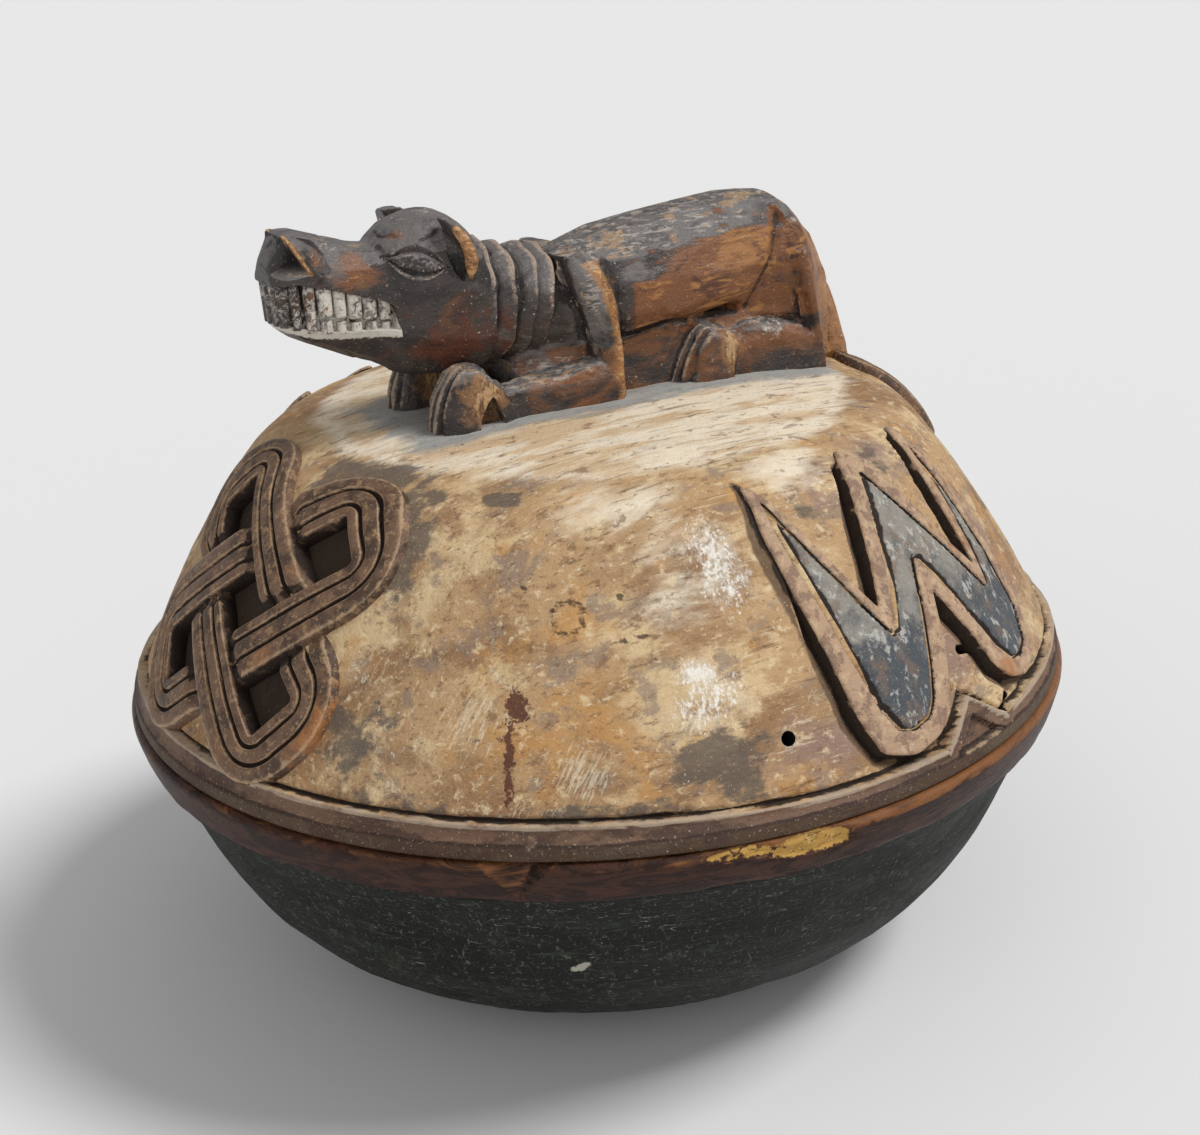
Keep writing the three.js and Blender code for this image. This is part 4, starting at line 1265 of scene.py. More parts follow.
# %% Lid material
ALL_WAYS = (1, 1, 1)
FIBRES = (9, 1, 1)
LONG_FIBRES = (16, 1, 1)
lid_wood = layered_wood("worn_clay_rubbed_wood", "#b8966e", 0.8, 0.3, [
    ("#8f6c4b", 0.8, "", 34, (2, 1, 1), 0.46, 0.60, 0.85),
    ("#d6bb91", 0.85, "", 24, (1.6, 1, 1), 0.49, 0.60, 0.85),
    ("#bf8c4f", 0.8, "", 19, (1.3, 1, 1), 0.53, 0.66, 0.65),
    ("#8a786b", 0.85, "", 11, (1.5, 1, 1), 0.54, 0.63, 0.7),
    ("#92776a", 0.8, "rose", 12, ALL_WAYS, 0.35, 0.9, 0.85),
    # Pale cream and ochre on the plateau, and as painted light on the lit patches.
    ("#efe2cc", 0.85, "top", 12, (3, 1, 1), 0.35, 0.85, 0.85),
    ("#c7a67d", 0.85, "top", 13, (4, 1, 1), 0.85, 1.05, 0.8),
    ("#e3cda6", 0.85, "", 3.2, (1.4, 1, 1), 0.55, 0.66, 0.65),
    ("#785940", 0.8, "", 3.6, (1.6, 1, 1), 0.56, 0.66, 0.65),
    ("#6b4f38", 0.8, "", 1.7, LONG_FIBRES, 0.56, 0.68, 0.65),
    ("#ecdcbc", 0.85, "", 1.2, FIBRES, 0.58, 0.68, 0.45),
    # Stains, and painted shade on the lid's left side.
    ("#5f554c", 0.75, "stain", 7, (2, 1, 1), 0.42, 0.65, 0.85),
    ("#8a8f92", 0.85, "dust", 6, (2, 1, 1), 0.25, 0.85, 0.8),
    # Ditch floors darkened as painted shade.
    ("#65503d", 0.85, "ditch", 5, ALL_WAYS, 0.2, 0.9, 0.9),
    ("#e3d4b8", 0.9, "scratch", 0.8, (1, 1, 13), 0.60, 0.85, 0.6),
    # White clay, and on the knots' right-facing faces a painted highlight.
    ("#d0c8b9", 0.95, "kaolin", 13, (1, 1, 1.6), 0.50, 1.0, 0.6),
    ("#e9e3d8", 0.95, "kaolin", 4.5, (1, 1, 2), 0.62, 0.92, 0.75),
    ("#f2ede3", 0.95, "kaolin", 1.1, (1, 1, 2.2), 0.60, 0.85, 0.85),
    ("#552b1c", 0.5, "drip", 1.8, ALL_WAYS, 0.46, 0.58, 0.92),
    ("#3f2f25", 0.9, "mark", 1.6, ALL_WAYS, 0.3, 0.6, 0.85),
    ("#6a4f40", 0.5, "band", 6, (2, 2, 1), 0.3, 0.7, 0.92),
    ("#3f2c24", 0.5, "band", 9, (3, 3, 1), 0.95, 1.15, 0.75),
    # The bead is painted pale as a highlight on its rounded top.
    ("#b3a08b", 0.6, "bead", 5, (2, 2, 1), 0.3, 0.8, 0.85),
    ("#33211a", 0.6, "edge", 6, (2, 2, 1), 0.4, 0.7, 0.9),
    ("#6e5341", 0.5, "ridge", 6, ALL_WAYS, 0.2, 0.6, 0.95),
    ("#443329", 0.45, "ridge", 11, ALL_WAYS, 0.93, 1.15, 0.85),
    ("#a88763", 0.6, "ridge", 3, ALL_WAYS, 1.06, 1.2, 0.6),
    ("#b29479", 0.65, "zigzag", 6, ALL_WAYS, 0.2, 0.6, 0.95),
    ("#7f6557", 0.7, "zigzag", 5, ALL_WAYS, 0.95, 1.12, 0.75),
    ("#d2b592", 0.75, "zigzag", 3.5, ALL_WAYS, 1.03, 1.18, 0.5),
    # Orange wood; on the knot's right half it is partly painted light.
    ("#a86f3e", 0.45, "warm", 6, ALL_WAYS, 0.4, 0.95, 0.8),
    ("#414a52", 0.55, "field", 8, ALL_WAYS, 0.3, 0.6, 0.96),
    ("#999389", 0.85, "dusty_field", 7, ALL_WAYS, 0.35, 0.95, 0.85),
    ("#7b6658", 0.75, "field", 6, (1, 1, 2), 1.02, 1.2, 0.6),
    ("#c9c7c0", 0.9, "field", 3.0, (1, 1, 2), 1.08, 1.22, 0.6),
    ("#dccbab", 0.9, "", 0.7, ALL_WAYS, 0.61, 0.69, 0.7),
    ("#3d2c20", 0.9, "", 1.1, (2.0, 1, 1), 0.63, 0.70, 0.75),
    ("#c5a683", 0.6, "crest", 2.6, ALL_WAYS, 0.5, 1.1, 0.65),
    # Painted shade: near black in grooves, ditches, the knot's openings and the border's groove.
    ("#261b15", 0.8, "black", 9, ALL_WAYS, 0.3, 0.62, 0.96),
    # Hollows darkened as painted shade.
    ("#2b2019", 0.9, "hollow", 3, ALL_WAYS, 0.35, 0.85, 0.85),
    ("#8e8373", 0.9, "", 0.6, ALL_WAYS, 0.64, 0.69, 0.7),
    # The holes' walls painted near black as shade.
    ("#0d0a08", 1.0, "hole", 3, ALL_WAYS, 0.30, 0.5, 1.0),
], [(5.0, ALL_WAYS, 0.6), (1.6, FIBRES, 0.4), (0.8, ALL_WAYS, 0.32)])
print(lid_wood.name)

# %% [markdown]
# Bowl finish: the same wood blackened with soot and oil over a fire, then scoured by use. The
# black is dull, with fine pale scratches round the bowl and greenish dust. The rim band is
# handled most, so there the soot is thin and the wood shines through as polished brown.

# %% Bowl material
bowl_wood = layered_wood("soot_blackened_wood", "#10100e", 0.6, 0.2, [
    ("#262823", 0.8, "", 26, (2, 2, 1), 0.46, 0.64, 0.8),
    ("#0b0b09", 0.5, "", 12, (3, 3, 1), 0.50, 0.62, 0.8),
    ("#37332c", 0.85, "", 15, (1, 1, 1.5), 0.56, 0.66, 0.6),
    ("#3a4037", 0.85, "", 2.4, (7, 7, 1), 0.55, 0.66, 0.75),
    ("#5f6857", 0.9, "", 1.7, (1, 1, 6), 0.57, 0.66, 0.75),
    ("#959986", 0.9, "", 0.9, (5, 5, 1), 0.61, 0.69, 0.75),
    ("#42261a", 0.42, "band", 8, (2, 2, 1), 0.3, 0.6, 0.96),
    ("#22130d", 0.45, "band", 5, (4, 4, 1), 0.88, 1.10, 0.85),
    # Painted highlight on the upper bevel, stronger to the right, and on the notch's left face.
    ("#8a5a33", 0.42, "rim", 4, (5, 5, 1), 0.5, 1.05, 0.85),
    # Hollows darkened as painted shade.
    ("#1d130e", 0.9, "hollow", 3, ALL_WAYS, 0.35, 0.85, 0.8),
    ("#a87a4c", 0.5, "crest", 3, ALL_WAYS, 0.7, 1.2, 0.5),
    # Painted shade in the seam under the band and on the notch's right face.
    ("#1b130e", 0.9, "black", 3, ALL_WAYS, 0.3, 0.7, 0.9),
    ("#bd944f", 0.7, "chip", 3, ALL_WAYS, 0.35, 0.6, 0.95),
    ("#7d5528", 0.7, "chip", 3, (1.5, 1.5, 1), 1.0, 1.2, 0.8),
    ("#e3c88a", 0.7, "chip", 1.6, (1.5, 1.5, 1), 1.02, 1.2, 0.7),
    ("#aaa899", 0.85, "nick", 2, ALL_WAYS, 0.3, 0.6, 0.9),
    ("#8f6a48", 0.85, "inside", 14, ALL_WAYS, 0.4, 0.6, 0.9),
], [(1.4, (6, 3, 1), 0.4), (0.8, ALL_WAYS, 0.3)], 1.8)
print(bowl_wood.name)

# %% [markdown]
# Figure finish: the animal's wood is darkened by smoke and oil and polished by touching. Its
# raised planes are rubbed to grey or to red-brown wood, and the grey on upward faces is partly
# a painted sheen. Orange edges are partly worn wood and partly painted highlight, hollows are
# painted nearly black as shade, and white clay is left in the mouth. It is the glossiest of the
# three woods.

# %% Figure material
figure_wood = layered_wood("smoke_darkened_figure_wood", "#3b3330", 0.42, 0.5, [
    ("#211c1b", 0.4, "", 14, (1.5, 1, 1), 0.45, 0.60, 0.8),
    ("#5a2d1b", 0.4, "red", 7, ALL_WAYS, 0.45, 0.85, 0.85),
    # Grey on upward faces: dust and rubbing, with a painted sheen.
    ("#6a6563", 0.5, "grey", 6, (3, 1, 1), 0.35, 0.8, 0.9),
    ("#403b3a", 0.5, "grey", 4, (3, 1, 1), 0.93, 1.15, 0.8),
    ("#a3835f", 0.6, "grey", 6, (1.4, 1, 1), 1.04, 1.16, 0.75),
    ("#7b4d2a", 0.42, "warm", 9, (2, 1, 1), 0.35, 0.8, 0.92),
    ("#4a281a", 0.42, "warm", 6, (2, 1, 1), 0.93, 1.15, 0.85),
    ("#a9763f", 0.45, "warm", 2.4, (4, 1, 1), 0.95, 1.2, 0.85),
    # Orange edges: worn wood, with a painted highlight.
    ("#a2703f", 0.45, "glow", 6, (2, 1, 1), 0.35, 0.95, 0.9),
    ("#6b3f22", 0.45, "glow", 4, (2, 1, 1), 0.88, 1.12, 0.75),
    ("#d3aa78", 0.6, "glow", 1.4, (5, 1, 1), 0.9, 1.15, 0.75),
    ("#8f6844", 0.55, "tan", 4, ALL_WAYS, 0.35, 0.85, 0.9),
    ("#5a3d2a", 0.6, "tan", 3, ALL_WAYS, 0.93, 1.12, 0.75),
    ("#c4a073", 0.65, "tan", 1.6, (1, 1, 3), 0.95, 1.15, 0.75),
    # Hollows painted nearly black as shade.
    ("#161110", 0.8, "hollow", 3, ALL_WAYS, 0.45, 1.0, 0.8),
    ("#b39a83", 0.5, "crest", 2.2, ALL_WAYS, 0.5, 1.1, 0.7),
    ("#c3b8ad", 0.6, "grey", 0.9, (6, 3, 1), 1.02, 1.18, 0.5),
    # White clay, and on the neck's hoop crests a painted highlight.
    ("#d8d2c6", 0.9, "kaolin", 1.6, ALL_WAYS, 0.5, 0.9, 0.88),
    ("#c9bfb0", 0.7, "", 0.8, ALL_WAYS, 0.62, 0.69, 0.75),
    ("#120e0c", 0.9, "", 1.2, (3, 1, 1), 0.62, 0.71, 0.8),
], [(4.0, ALL_WAYS, 0.5), (1.5, (6, 1, 1), 0.35), (0.8, ALL_WAYS, 0.3)], 0.8)
print(figure_wood.name)

# %% [markdown]
# The masks say where clay, stain and wear lie, and where light and shade are painted. They
# could be painted by hand, but numbers kept on the vertices stay sharp at any size.
# `wear_maps` finds crests, for wear, and hollows, for painted shade, by comparing
# each point with the averaged surface round it. `clouds` lays soft ellipses on the unrolled
# dome, each as azimuth, distance up, half width, half height, tilt and strength.

# %% Helpers for the masks


def wear_maps(piece, times, reach):
    """Stores crest for wear and hollow for painted shade: 0 on level wood, 1 where it stands or sinks by
    reach.
    """
    points = points_of(piece)
    rest = spread(piece, points, times)
    stand = ((points - rest) * normals_of(piece)).sum(1)
    store(piece, crest=np.clip(stand / reach, 0, 1), hollow=np.clip(-stand / reach, 0, 1))


def stored(piece, name):
    """The numbers that store kept on the piece."""
    values = np.empty(len(piece.data.vertices), np.float32)
    piece.data.attributes[name].data.foreach_get("value", values)
    return values


def bell(value, wide):
    """1 at 0, falling softly to 0 on both sides."""
    return np.exp(-(value / wide) ** 2)


def dome_place(points):
    """Azimuth and distance up the dome's curve of points on the lid."""
    azimuth = np.degrees(np.arctan2(points[:, 0], -points[:, 1]))
    radius = np.hypot(points[:, 0], points[:, 1])
    level = points[:, 2] - LID_BASE
    table = np.stack([DOME_R, DOME_Z], -1)[::4]
    up = np.empty(len(points))
    for part in np.array_split(np.arange(len(points)), len(points) // 5000 + 1):
        gaps = (radius[part, None] - table[:, 0]) ** 2 + (level[part, None] - table[:, 1]) ** 2
        up[part] = ALONG[::4][gaps.argmin(1)]
    return azimuth, up


def clouds(azimuth, up, spots):
    """The strongest of several soft ellipses at each place."""
    total = np.zeros(len(azimuth))
    for at, high, wide, tall, tilt, strength in spots:
        x = mm_round(azimuth, up, at)
        y = up - high
        turn = math.radians(tilt)
        a = (x * math.cos(turn) + y * math.sin(turn)) / wide
        b = (-x * math.sin(turn) + y * math.cos(turn)) / tall
        total = np.maximum(total, strength * np.exp(-(a * a + b * b)))
    return total


# %% [markdown]
# On the lid the marks are where the photograph shows them: white clay on the right, grey
# stains round the reliefs, painted shade on the left side near the knot, pale painted light on
# the upper right, painted shade in grooves, ditches, wells and holes, a dark drip, scratches,
# small cracks, the mark of a knot in the wood, and dust round the animal's feet. The back is a
# freer repeat, as no picture shows it.

# %% Masks of the lid
CLAY = [
    (-14, 38, 19, 12, 20, 0.72), (-9, 74, 13, 26, 8, 0.72), (-15, 46, 9, 6, 0, 0.8),
    (-3, 52, 8, 24, 5, 0.5), (6, 88, 10, 12, 0, 0.55), (-52, 32, 14, 22, 10, 0.5),
    (-46, 14, 26, 8, 0, 0.45), (-57, 46, 10, 16, 0, 0.55), (14, 88, 12, 14, 0, 0.5),
    (32, 86, 10, 14, 0, 0.45), (-18, 20, 12, 8, 0, 0.45), (-35, 25, 22, 14, 60, 0.38),
    (166, 38, 17, 12, 20, 0.7), (150, 70, 20, 20, 0, 0.5), (128, 40, 20, 18, 0, 0.5),
    (-150, 30, 25, 14, 0, 0.5), (70, 60, 20, 30, 0, 0.45),
]
LID_CLOUDS = {
    # Real stains, and painted shade on the lid's left side near the knot.
    "stain": [
        (-13, 21, 17, 11, 0, 0.85), (-56, 84, 15, 22, 0, 0.85), (-60, 30, 12, 22, 0, 0.6),
        (-50, 12, 30, 7, 0, 0.6), (-70, 104, 30, 14, 0, 0.8), (-41, 100, 6, 4, 0, 1.3),
        (-28, 12, 40, 5, 0, 0.55), (-55, 26, 17, 26, 0, 0.55), (8, 84, 7, 10, 0, 0.6),
        (30, 88, 8, 12, 0, 0.55), (-120, 60, 30, 40, 0, 0.6), (-46, 42, 8, 16, 0, 0.35),
        (60, 50, 16, 40, 0, 0.45), (120, 20, 40, 12, 0, 0.6), (160, 22, 16, 10, 0, 0.7),
        (-170, 80, 30, 20, 0, 0.5),
    ],
    "scratch": [
        (-42, 36, 15, 20, -20, 0.7), (-29, 22, 14, 15, 0, 0.75), (-54, 44, 10, 16, 0, 0.6),
        (-35, 12, 22, 7, 0, 0.6), (-16, 34, 16, 10, 0, 0.65), (-32, 50, 20, 8, 0, 0.5),
        (150, 40, 30, 30, 0, 0.6),
    ],
    "rose": [
        (-2, 20, 26, 11, 0, 0.9), (12, 90, 12, 22, 0, 0.6), (21, 28, 9, 14, 0, 1.0), (44, 40, 14, 50, 0, 0.8),
        (30, 90, 12, 16, 0, 0.8), (178, 20, 30, 12, 0, 0.8), (-150, 60, 25, 30, 0, 0.6),
    ],
    "drip": [(-36.9, 26, 2.0, 22, 3, 0.82), (-36.2, 40, 4.4, 6.0, 0, 0.85)],
}
# Painted light: pale patches where the light falls on the upper right of the dome.
PALE = [(-20, 96, 24, 17, 0, 0.75), (-14, 66, 18, 26, 0, 0.6), (10, 98, 20, 12, 0, 0.75),
        (160, 90, 30, 30, 0, 0.6)]
# Each crack: azimuth, distance up, half width and half height.
CRACKS = [(-23, 57, 2.2, 0.9), (-20.5, 57.5, 2.2, 0.8), (-23, 69, 2.2, 0.8), (-15, 65.5, 2.6, 1.1),
          (-36, 72, 1.6, 0.8)]
KNOT_MARK = (-30, 64)
EDGE_TOP = 4.5
FEET_MIDDLE, FEET_LONG, FEET_WIDE = 14, 74, 22
points = points_of(lid)
azimuth, up = dome_place(points)
level = points[:, 2] - LID_BASE
over_edge = level > EDGE_TOP
store(lid, **{name: clouds(azimuth, up, spots) for name, spots in LID_CLOUDS.items()})
flat = smooth_step(100, 116, up)
from_feet = np.hypot(np.maximum(np.abs(points[:, 0] - FEET_MIDDLE) - FEET_LONG, 0),
                     np.maximum(np.abs(points[:, 1]) - FEET_WIDE, 0))
# top: the plateau's own pale tone, joined by the painted light patches.
store(lid, dust=(1 - smooth_step(1, 16, from_feet)) * flat * 0.95,
      top=np.maximum(flat * 0.9, clouds(azimuth, up, PALE)))
below, under = below_border(azimuth, up)
# The bead mask carries a painted highlight on the bead's rounded top.
store(lid, band=smooth_step(0.2, 1.0, below - 0.3) * over_edge, bead=bell(below - 1.3, 0.8) * over_edge,
      edge=1 - smooth_step(4.4, 5.4, level))
# Painted shade in the knot's openings, the zigzag's ditches and the border's grooves.
wells = np.maximum(knot_wells(azimuth, up), knot_wells(azimuth - HALF_TURN, up)) / WELL_DEPTH
ditches = np.maximum(zigzag_ditches(azimuth, up), zigzag_ditches(azimuth - HALF_TURN, up)) / DITCH_DEPTH
rills = 0.8 * np.maximum(bell(below + 0.2, 0.8), bell(under, 0.5)) * over_edge
black = np.maximum.reduce([wells, smooth_step(0.5, 1.1, ditches) * 0.8, rills])
mark = 0.75 * bell(np.hypot(mm_round(azimuth, up, KNOT_MARK[0]), up - KNOT_MARK[1]) - 4.6, 0.9)
for at, high, wide, tall in CRACKS:
    share = np.hypot(mm_round(azimuth, up, at) / wide, (up - high) / tall)
    mark = np.maximum(mark, 1 - smooth_step(0.5, 1.2, share))
clay = np.maximum(clouds(azimuth, up, CLAY), 0.14 + 0.22 * uneven(points, 40, 7.7))
base = on_dome(azimuth, up, 0.0)
height = ((points - base) * (on_dome(azimuth, up, 1.0) - base)).sum(1)
# The holes' walls are painted near black as shade.
hole = black * 0
for at, high, bore, reach_side, reach_up in HOLES:
    slot = np.array([(-reach_side, -reach_up), (reach_side, reach_up)])
    gap = gap_to_line(np.c_[mm_round(azimuth, up, at), up - high], slot, closed=False) - bore
    sunk = height < float(ground_height(np.array([at]), np.array([high]))[0]) - 0.3
    hole = np.maximum(hole, 1.2 * (gap < 0.6) * sunk)
    clay = np.maximum(clay, 0.5 * (gap < 1.0) * (at < 0))
store(lid, black=black, kaolin=clay * over_edge * (1 - black), hole=hole, mark=mark * 0.9,
      ditch=smooth_step(0.0, 0.5, ditches))
wear_maps(lid, 3, 0.6)
print("lid marked,", int((hole > 0).sum()), "points lie in its holes")

# %% [markdown]
# The knot's strands are dark brown. The outer strand turns to orange wood, partly at random
# and partly as painted light that grows towards the right half; faces that turn right get a
# pale painted highlight, and grooves and openings get painted shade.

# %% Masks of the knots
for piece in knots:
    points = points_of(piece)
    azimuth, up = dome_place(points)
    turned = azimuth - HALF_TURN * (piece is knots[1])
    facing = normals_of(piece)
    rightward = facing[:, 0] * np.cos(np.radians(azimuth)) + facing[:, 1] * np.sin(np.radians(azimuth))
    low = np.linalg.norm(points - on_dome(azimuth, up, 0.0), axis=1) < 2.2
    cell = knot_wells(turned, up, 15, 17) / WELL_DEPTH * low
    outer = stored(piece, "warm") * (1 - cell)
    # Painted light: orange grows over the right half, and faces turned right get a pale painted highlight.
    right_half = smooth_step(-12, 18, knot_places(turned, up)[:, 0])
    rubbed = outer * (0.42 * right_half + 0.55 * uneven(points, 17, 6.6)) + 0.35 * uneven(points, 20, 1.6)
    powder = 0.9 * outer * smooth_step(0.45, 0.8, rightward)
    store(piece, ridge=np.ones(len(points)), warm=rubbed, black=np.maximum(stored(piece, "black"), 0.6 * cell),
          kaolin=np.maximum(0.12 + 0.25 * uneven(points, 25, 4.4), powder))
print("knots marked")

# %% [markdown]
# The zigzag's ridge has the lid's rosy wood with a few orange patches. Its sunk field is blue
# black, dustier towards the top, with a groove right of every inner wall painted black as
# shade; the sunk edge of the field and the feet of the ridge's walls get painted shade too.

# %% Masks of the zigzags
ORANGE = [(31.5, 16, 7, 9, 0, 0.95), (31, 57, 4, 16, 30, 0.6), (37, 62, 3, 26, -8, 0.6)]
for piece in zigzags:
    points = points_of(piece)
    azimuth, up = dome_place(points)
    in_front = np.abs((azimuth - ZIGZAG_AZIMUTH + HALF_TURN) % 360 - HALF_TURN) < 60
    turned = (np.where(in_front, azimuth, azimuth - HALF_TURN) + HALF_TURN) % 360 - HALF_TURN
    places = flat_mm(turned, up)
    within = inside_line(places, zig_inner)
    out = np.hypot(points[:, 0], points[:, 1]) - np.interp(up, ALONG, DOME_R)
    lift = points[:, 2] - LID_BASE - np.interp(up, ALONG, DOME_Z)
    level = np.hypot(out, lift) * np.sign(out + lift)
    # Painted shade: the groove right of each inner wall, the field's sunk edge and the feet of the ridge's
    # walls.
    groove = smooth_step(0.1, 0.6, left_shade(places)) * within
    wall = (1 - smooth_step(0.2, 0.9, level)) * ~within
    sunk = (gap_to_line(places, zig_inner) < 0.9) & (level < 0.65)
    wear_maps(piece, 2, 0.35)
    store(piece, field=within * 1.0, dusty_field=within * (0.3 + 0.55 * smooth_step(30, 58, up)),
          zigzag=1.0 - within, black=np.maximum.reduce([groove, sunk * 0.9, wall * 0.9]),
          warm=clouds(turned, up, ORANGE) * ~within,
          kaolin=np.where(within, 0.24, 0.2) + 0.2 * uneven(points, 18, 1.4))
for piece in knots + zigzags + [lid]:
    piece.data.materials.clear()
    piece.data.materials.append(lid_wood)
print("zigzags marked")

# %% [markdown]
# The bowl's masks follow the heights of its outline: the band, worn on its crests, its upper
# bevel painted lighter as a highlight that grows towards the right, the seam under it painted
# dark as shade, the notch with its left face painted light and its right face painted dark,
# the broken chip that shows pale wood, a small pale nick lower down, and the inside, which is
# left as plain cut wood because soot never reached it.

# %% Masks of the bowl
BAND_LOW = 83.4
NICK = (-30.8, 53.4)
wear_maps(bowl, 4, 0.35)
points = points_of(bowl)
radius = np.hypot(points[:, 0], points[:, 1])
azimuth = np.degrees(np.arctan2(points[:, 0], -points[:, 1]))
facing_in = (normals_of(bowl)[:, :2] * points[:, :2]).sum(1) < 0
nick_side = azimuth - NICK[0]
nick = 1 - smooth_step(0.4, 1.0, np.hypot(nick_side / 1.9, (points[:, 2] - NICK[1] - nick_side) / 2.0))
# Painted shade in the seam and on the notch's right face; painted highlight on its left face and the bevel.
seam = 0.8 * bell(points[:, 2] - 83.2, 0.9) * (radius > 137)
dark_face = 0.5 * (notch > 0.15) * (right_face < left_face)
light_face = 0.65 * (notch > 0.15) * (right_face > left_face)
bevel = smooth_step(91.5, 95, points[:, 2]) * (radius > 143) * (0.55 + 0.4 * smooth_step(-30, 0, azimuth))
store(bowl, crest=stored(bowl, "crest") * (points[:, 2] > 84), nick=nick * (radius > 120),
      band=((points[:, 2] > BAND_LOW) & (radius > 137)) * 1.0, chip=np.clip(chip, 0, 1) * 1.1,
      inside=((points[:, 2] > 11) & facing_in & (radius < 134)) * 1.0,
      black=np.maximum(seam, dark_face) * ~facing_in, rim=np.maximum(bevel, light_face))
bowl.data.materials.append(bowl_wood)
print("bowl marked")

# %% [markdown]
# The animal's masks are placed from the side, as soft spots at (x, height over the plateau):
# grey on its back, upward faces and snout, partly light dust and rubbing and partly painted
# sheen, warm brown on flank and snout, an orange edge on arm, haunch and ears, partly worn wood
# and partly painted highlight, tan paws, white clay on lip, teeth and round the eye, a painted
# highlight on the neck's hoop crests and painted shade in its grooves and in the nostrils.

# %% Masks of the animal
ARM_BACK = [(0, 6.4), (18, 6.0), (25, 5.2), (31, 4.2), (36, 3), (40, 1), (45, -3)]
MOUTH_CORNER = -63.0


def blob(at_x, at_up, wide, tall):
    """A soft spot on the piece in hand, seen from the side."""
    return bell(x - at_x, wide) * bell(up - at_up, tall)


for piece in (body, head, neck, teeth):
    points = points_of(piece)
    facing = normals_of(piece)
    x, out, up = points[:, 0], np.abs(points[:, 1]), points[:, 2] - PLATEAU
    side_view = np.c_[x, up]
    sideways = smooth_step(0.25, 0.7, np.abs(facing[:, 1]))
    cloudy = uneven(points, 14, 3.3) * 0.5 + uneven(points, 6, 9.1) * 0.3
    zero = np.zeros(len(points))
    # Upward faces turn grey: partly dust and rubbing, partly a painted sheen from above.
    from_top = 0.2 + 0.22 * smooth_step(5, 65, x)
    grey = smooth_step(0, 0.4, facing[:, 2] - from_top + 0.3 * cloudy)
    red, warm, glow, tan, kaolin = zero + 0.25, zero, zero, zero, zero
    if piece in (body, head):
        wear_maps(piece, 5, 0.26)
    if piece == body:
        low = 1 - smooth_step(15, 19, up)
        flank = smooth_step(8, 14, x) * (1 - grey) * smooth_step(8, 18, up)
        warm = np.maximum(flank * 0.95, 0.6 * low * sideways * smooth_step(-32, -26, x))
        red = 0.3 + 0.5 * blob(14, 24, 8, 12)
        # Orange on haunch, tail, thigh and arm edge: partly worn wood, partly painted highlight.
        haunch = smooth_step(75, 83, x + 0.25 * (up - 20)) * 0.75
        arm_edge = bell(x - along(ARM_BACK, up) + 1.5, 4.2) * (up < 42) * (out > 12) * 0.95
        glow = np.maximum.reduce([haunch, 0.75 * blob(48, 38, 16, 9) * sideways, arm_edge])
        tan = 1.3 * np.maximum(blob(-42, 9, 9, 12), blob(43, 9, 4.5, 9)) * sideways * low
        grey = np.maximum.reduce([grey, 1.1 * blob(-4, 32, 7, 18) * sideways, 1.1 * blob(-20, 12, 18, 6)])
        kaolin = 0.55 * blob(60, 12, 10, 5) + 0.25 * blob(33, 10, 5, 8)
    if piece == head:
        # The snout's grey is a painted sheen.
        grey = np.maximum(grey * 0.85, 0.7 * blob(-78, 52, 9, 7))
        warm = sideways * np.maximum.reduce([
            blob(-74, 47, 8, 7), 0.9 * blob(-61, 57, 5, 3), 0.8 * blob(-86, 54, 4, 5),
            0.5 * blob(-50, 33, 7, 8),
        ])
        red = 0.35 + 0.4 * blob(-48, 28, 14, 10)
        skin = np.array(NOSTRIL)
        inwards = np.cross(skin[1] - skin[0], skin[2] - skin[0])
        inwards = -inwards / np.linalg.norm(inwards) * np.sign(inwards[1])
        sunk = (np.c_[x, out, up] - skin[0]) @ inwards
        pit = smooth_step(0.5, 1.6, sunk) * inside_line(side_view, skin[:, (0, 2)]) * (out < 12)
        # The nostril's pit is painted dark as shade through the hollow mask.
        store(piece, hollow=np.maximum(stored(piece, "hollow"), pit * 1.5))
        rim = gap_to_line(side_view, skin[[0, 2], :][:, (0, 2)] + (0.4, 0.3), closed=False)
        glow = np.maximum.reduce([
            ((np.abs(x + 45) < 5) & (out > 19.6)) * smooth_step(42, 45, up),
            0.6 * blob(-73, 45, 5, 4) * sideways,
            1.2 * bell(rim, 0.8) * (pit < 0.3) * (out > 5) * (out < 14),
        ])
        lip = 1.2 * np.clip(1.3 - np.abs(up - along(LOWER_LIP, x) + 1.0) / 1.7, 0, 1) * (x < MOUTH_CORNER)
        inside = (up > along(LOWER_LIP, x) - 0.5) & (up < along(UPPER_LIP, x) + 0.3)
        inside = inside & (x < MOUTH_CORNER) & (out < 12.5)
        share, _ = eye_share(points)
        eye_rim = 0.6 * bell(share - 1.3, 0.2) * sideways * (up < 48)
        kaolin = np.maximum.reduce([
            lip, inside * (0.25 + 0.3 * smooth_step(-88, -80, x)), eye_rim, 0.42 * (share < 0.8) * sideways,
        ])
    if piece == neck:
        # Hoop crests facing up get a painted highlight on top of their wear; the grooves between hoops get
        # painted shade.
        worn = smooth_step(0.4, 1.1, neck_height) * (0.5 + 0.5 * smooth_step(0, 0.8, facing[:, 2]))
        store(piece, crest=worn, hollow=smooth_step(-0.4, -1.2, neck_height))
        red = zero + 0.5
        grey = 0.35 + grey * 0.5
        # Pale on the hoop crests is a painted highlight.
        kaolin = 0.42 * smooth_step(0.6, 1.2, neck_height)
    if piece == teeth:
        red, grey, tan = zero + 0.5, zero + 0.4, zero + 0.35
        kaolin = 0.55 + 0.34 * smooth_step(-92, -78, x)
    maps = {"grey": grey, "red": red, "warm": warm, "glow": glow, "tan": tan, "kaolin": kaolin}
    for name, values in maps.items():
        store(piece, **{name: values + 0.35 * cloudy * (values > 0.02) * (values < 0.98)})
    piece.data.materials.clear()
    piece.data.materials.append(figure_wood)
print("animal marked")

# %% [markdown]
# The camera stands where the photographer's stood. Its place and its turn were fitted to the
# round rim of the lid in the photograph, which also fixes every size that is read there.

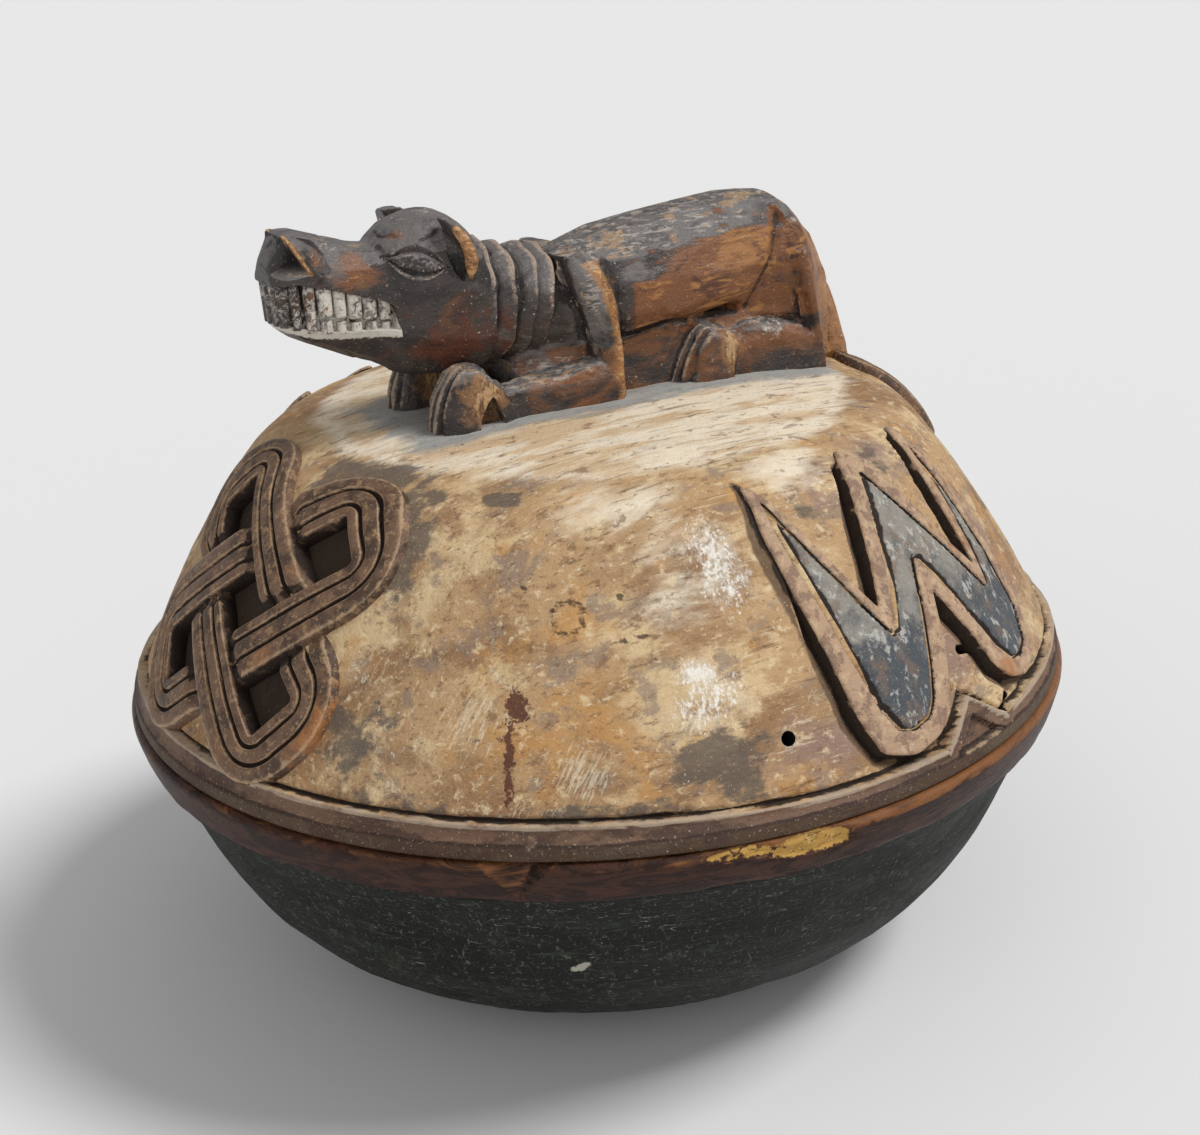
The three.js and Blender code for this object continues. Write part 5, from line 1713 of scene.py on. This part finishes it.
# %% Camera
CAMERA_PLACE = (-0.2726, -0.5418, 0.3530)
RIGHT = Vector((0.89101, -0.45399, 0))
BACK = Vector((-0.42412, -0.83238, 0.35674))
ROLL = math.radians(-3.267)
camera_data = bpy.data.cameras.new("camera")
camera_data.lens = 60
camera_data.sensor_width = 36
camera = bpy.data.objects.new("camera", camera_data)
bpy.context.scene.collection.objects.link(camera)
up_axis = BACK.cross(RIGHT)
turned_right = RIGHT * math.cos(ROLL) + up_axis * math.sin(ROLL)
turned_up = up_axis * math.cos(ROLL) - RIGHT * math.sin(ROLL)
turn = Matrix((turned_right, turned_up, BACK)).transposed()
camera.matrix_world = Matrix.Translation(CAMERA_PLACE) @ turn.to_4x4()
bpy.context.scene.camera = camera
print("camera at", CAMERA_PLACE)

# %% [markdown]
# Each piece now gets smooth shading and is tied to the part: the body that it moves with, and
# the node that it stands for, which is hidden. Reliefs, neck and teeth stand for no node of
# their own, since the part's lid and animal hold them already.

# %% Pieces tied to the part


def finish_piece(piece, body, nodes):
    """Smooth shading, the part's body, and the part's nodes that the piece stands for, which are hidden."""
    pick(piece)
    bpy.ops.object.shade_smooth()
    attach(piece, body)
    if nodes:
        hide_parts(*nodes)
    print(piece.name, len(piece.data.polygons), "faces")


finish_piece(bowl, "bowl", ["bowl"])
finish_piece(lid, "lid", ["lid"])
for piece in zigzags + knots:
    finish_piece(piece, "lid", [])
for piece in (body, head):
    finish_piece(piece, "lid", ["crouching_animal"])
for piece in (neck, teeth):
    finish_piece(piece, "lid", [])

# %% [markdown]
# A pale floor takes the shadow. The light is that of a plain studio: an even white world and
# three broad suns, of which the key stands front right and high. Together they are kept so
# weak that a colour shows about as it was written.

# %% Floor and light
# Each light: name, the way to it, how wide it is in degrees, and its strength.
LIGHTS = [("key", (0.75, -0.55, 1.25), 20, 2.1), ("fill", (-1.3, -0.9, 0.7), 50, 0.4),
          ("front", (-0.3, -1.2, 0.5), 50, 0.3)]
bpy.ops.object.select_all(action="DESELECT")
bpy.ops.mesh.primitive_plane_add(size=60)
floor = bpy.context.object
floor.name = "floor"
world = bpy.data.worlds.new("studio")
world.use_nodes = True
world.node_tree.nodes["Background"].inputs["Color"].default_value = (1, 1, 1, 1)
world.node_tree.nodes["Background"].inputs["Strength"].default_value = 0.38
bpy.context.scene.world = world
for name, place, softness, power in LIGHTS:
    lamp_data = bpy.data.lights.new(name, "SUN")
    lamp_data.angle = math.radians(softness)
    lamp_data.energy = power
    lamp = bpy.data.objects.new(name, lamp_data)
    bpy.context.scene.collection.objects.link(lamp)
    lamp.location = place
    lamp.rotation_mode = "QUATERNION"
    lamp.rotation_quaternion = Vector(place).to_track_quat("Z", "Y")
bpy.context.scene.view_settings.view_transform = "Standard"
print("lights", len(LIGHTS))
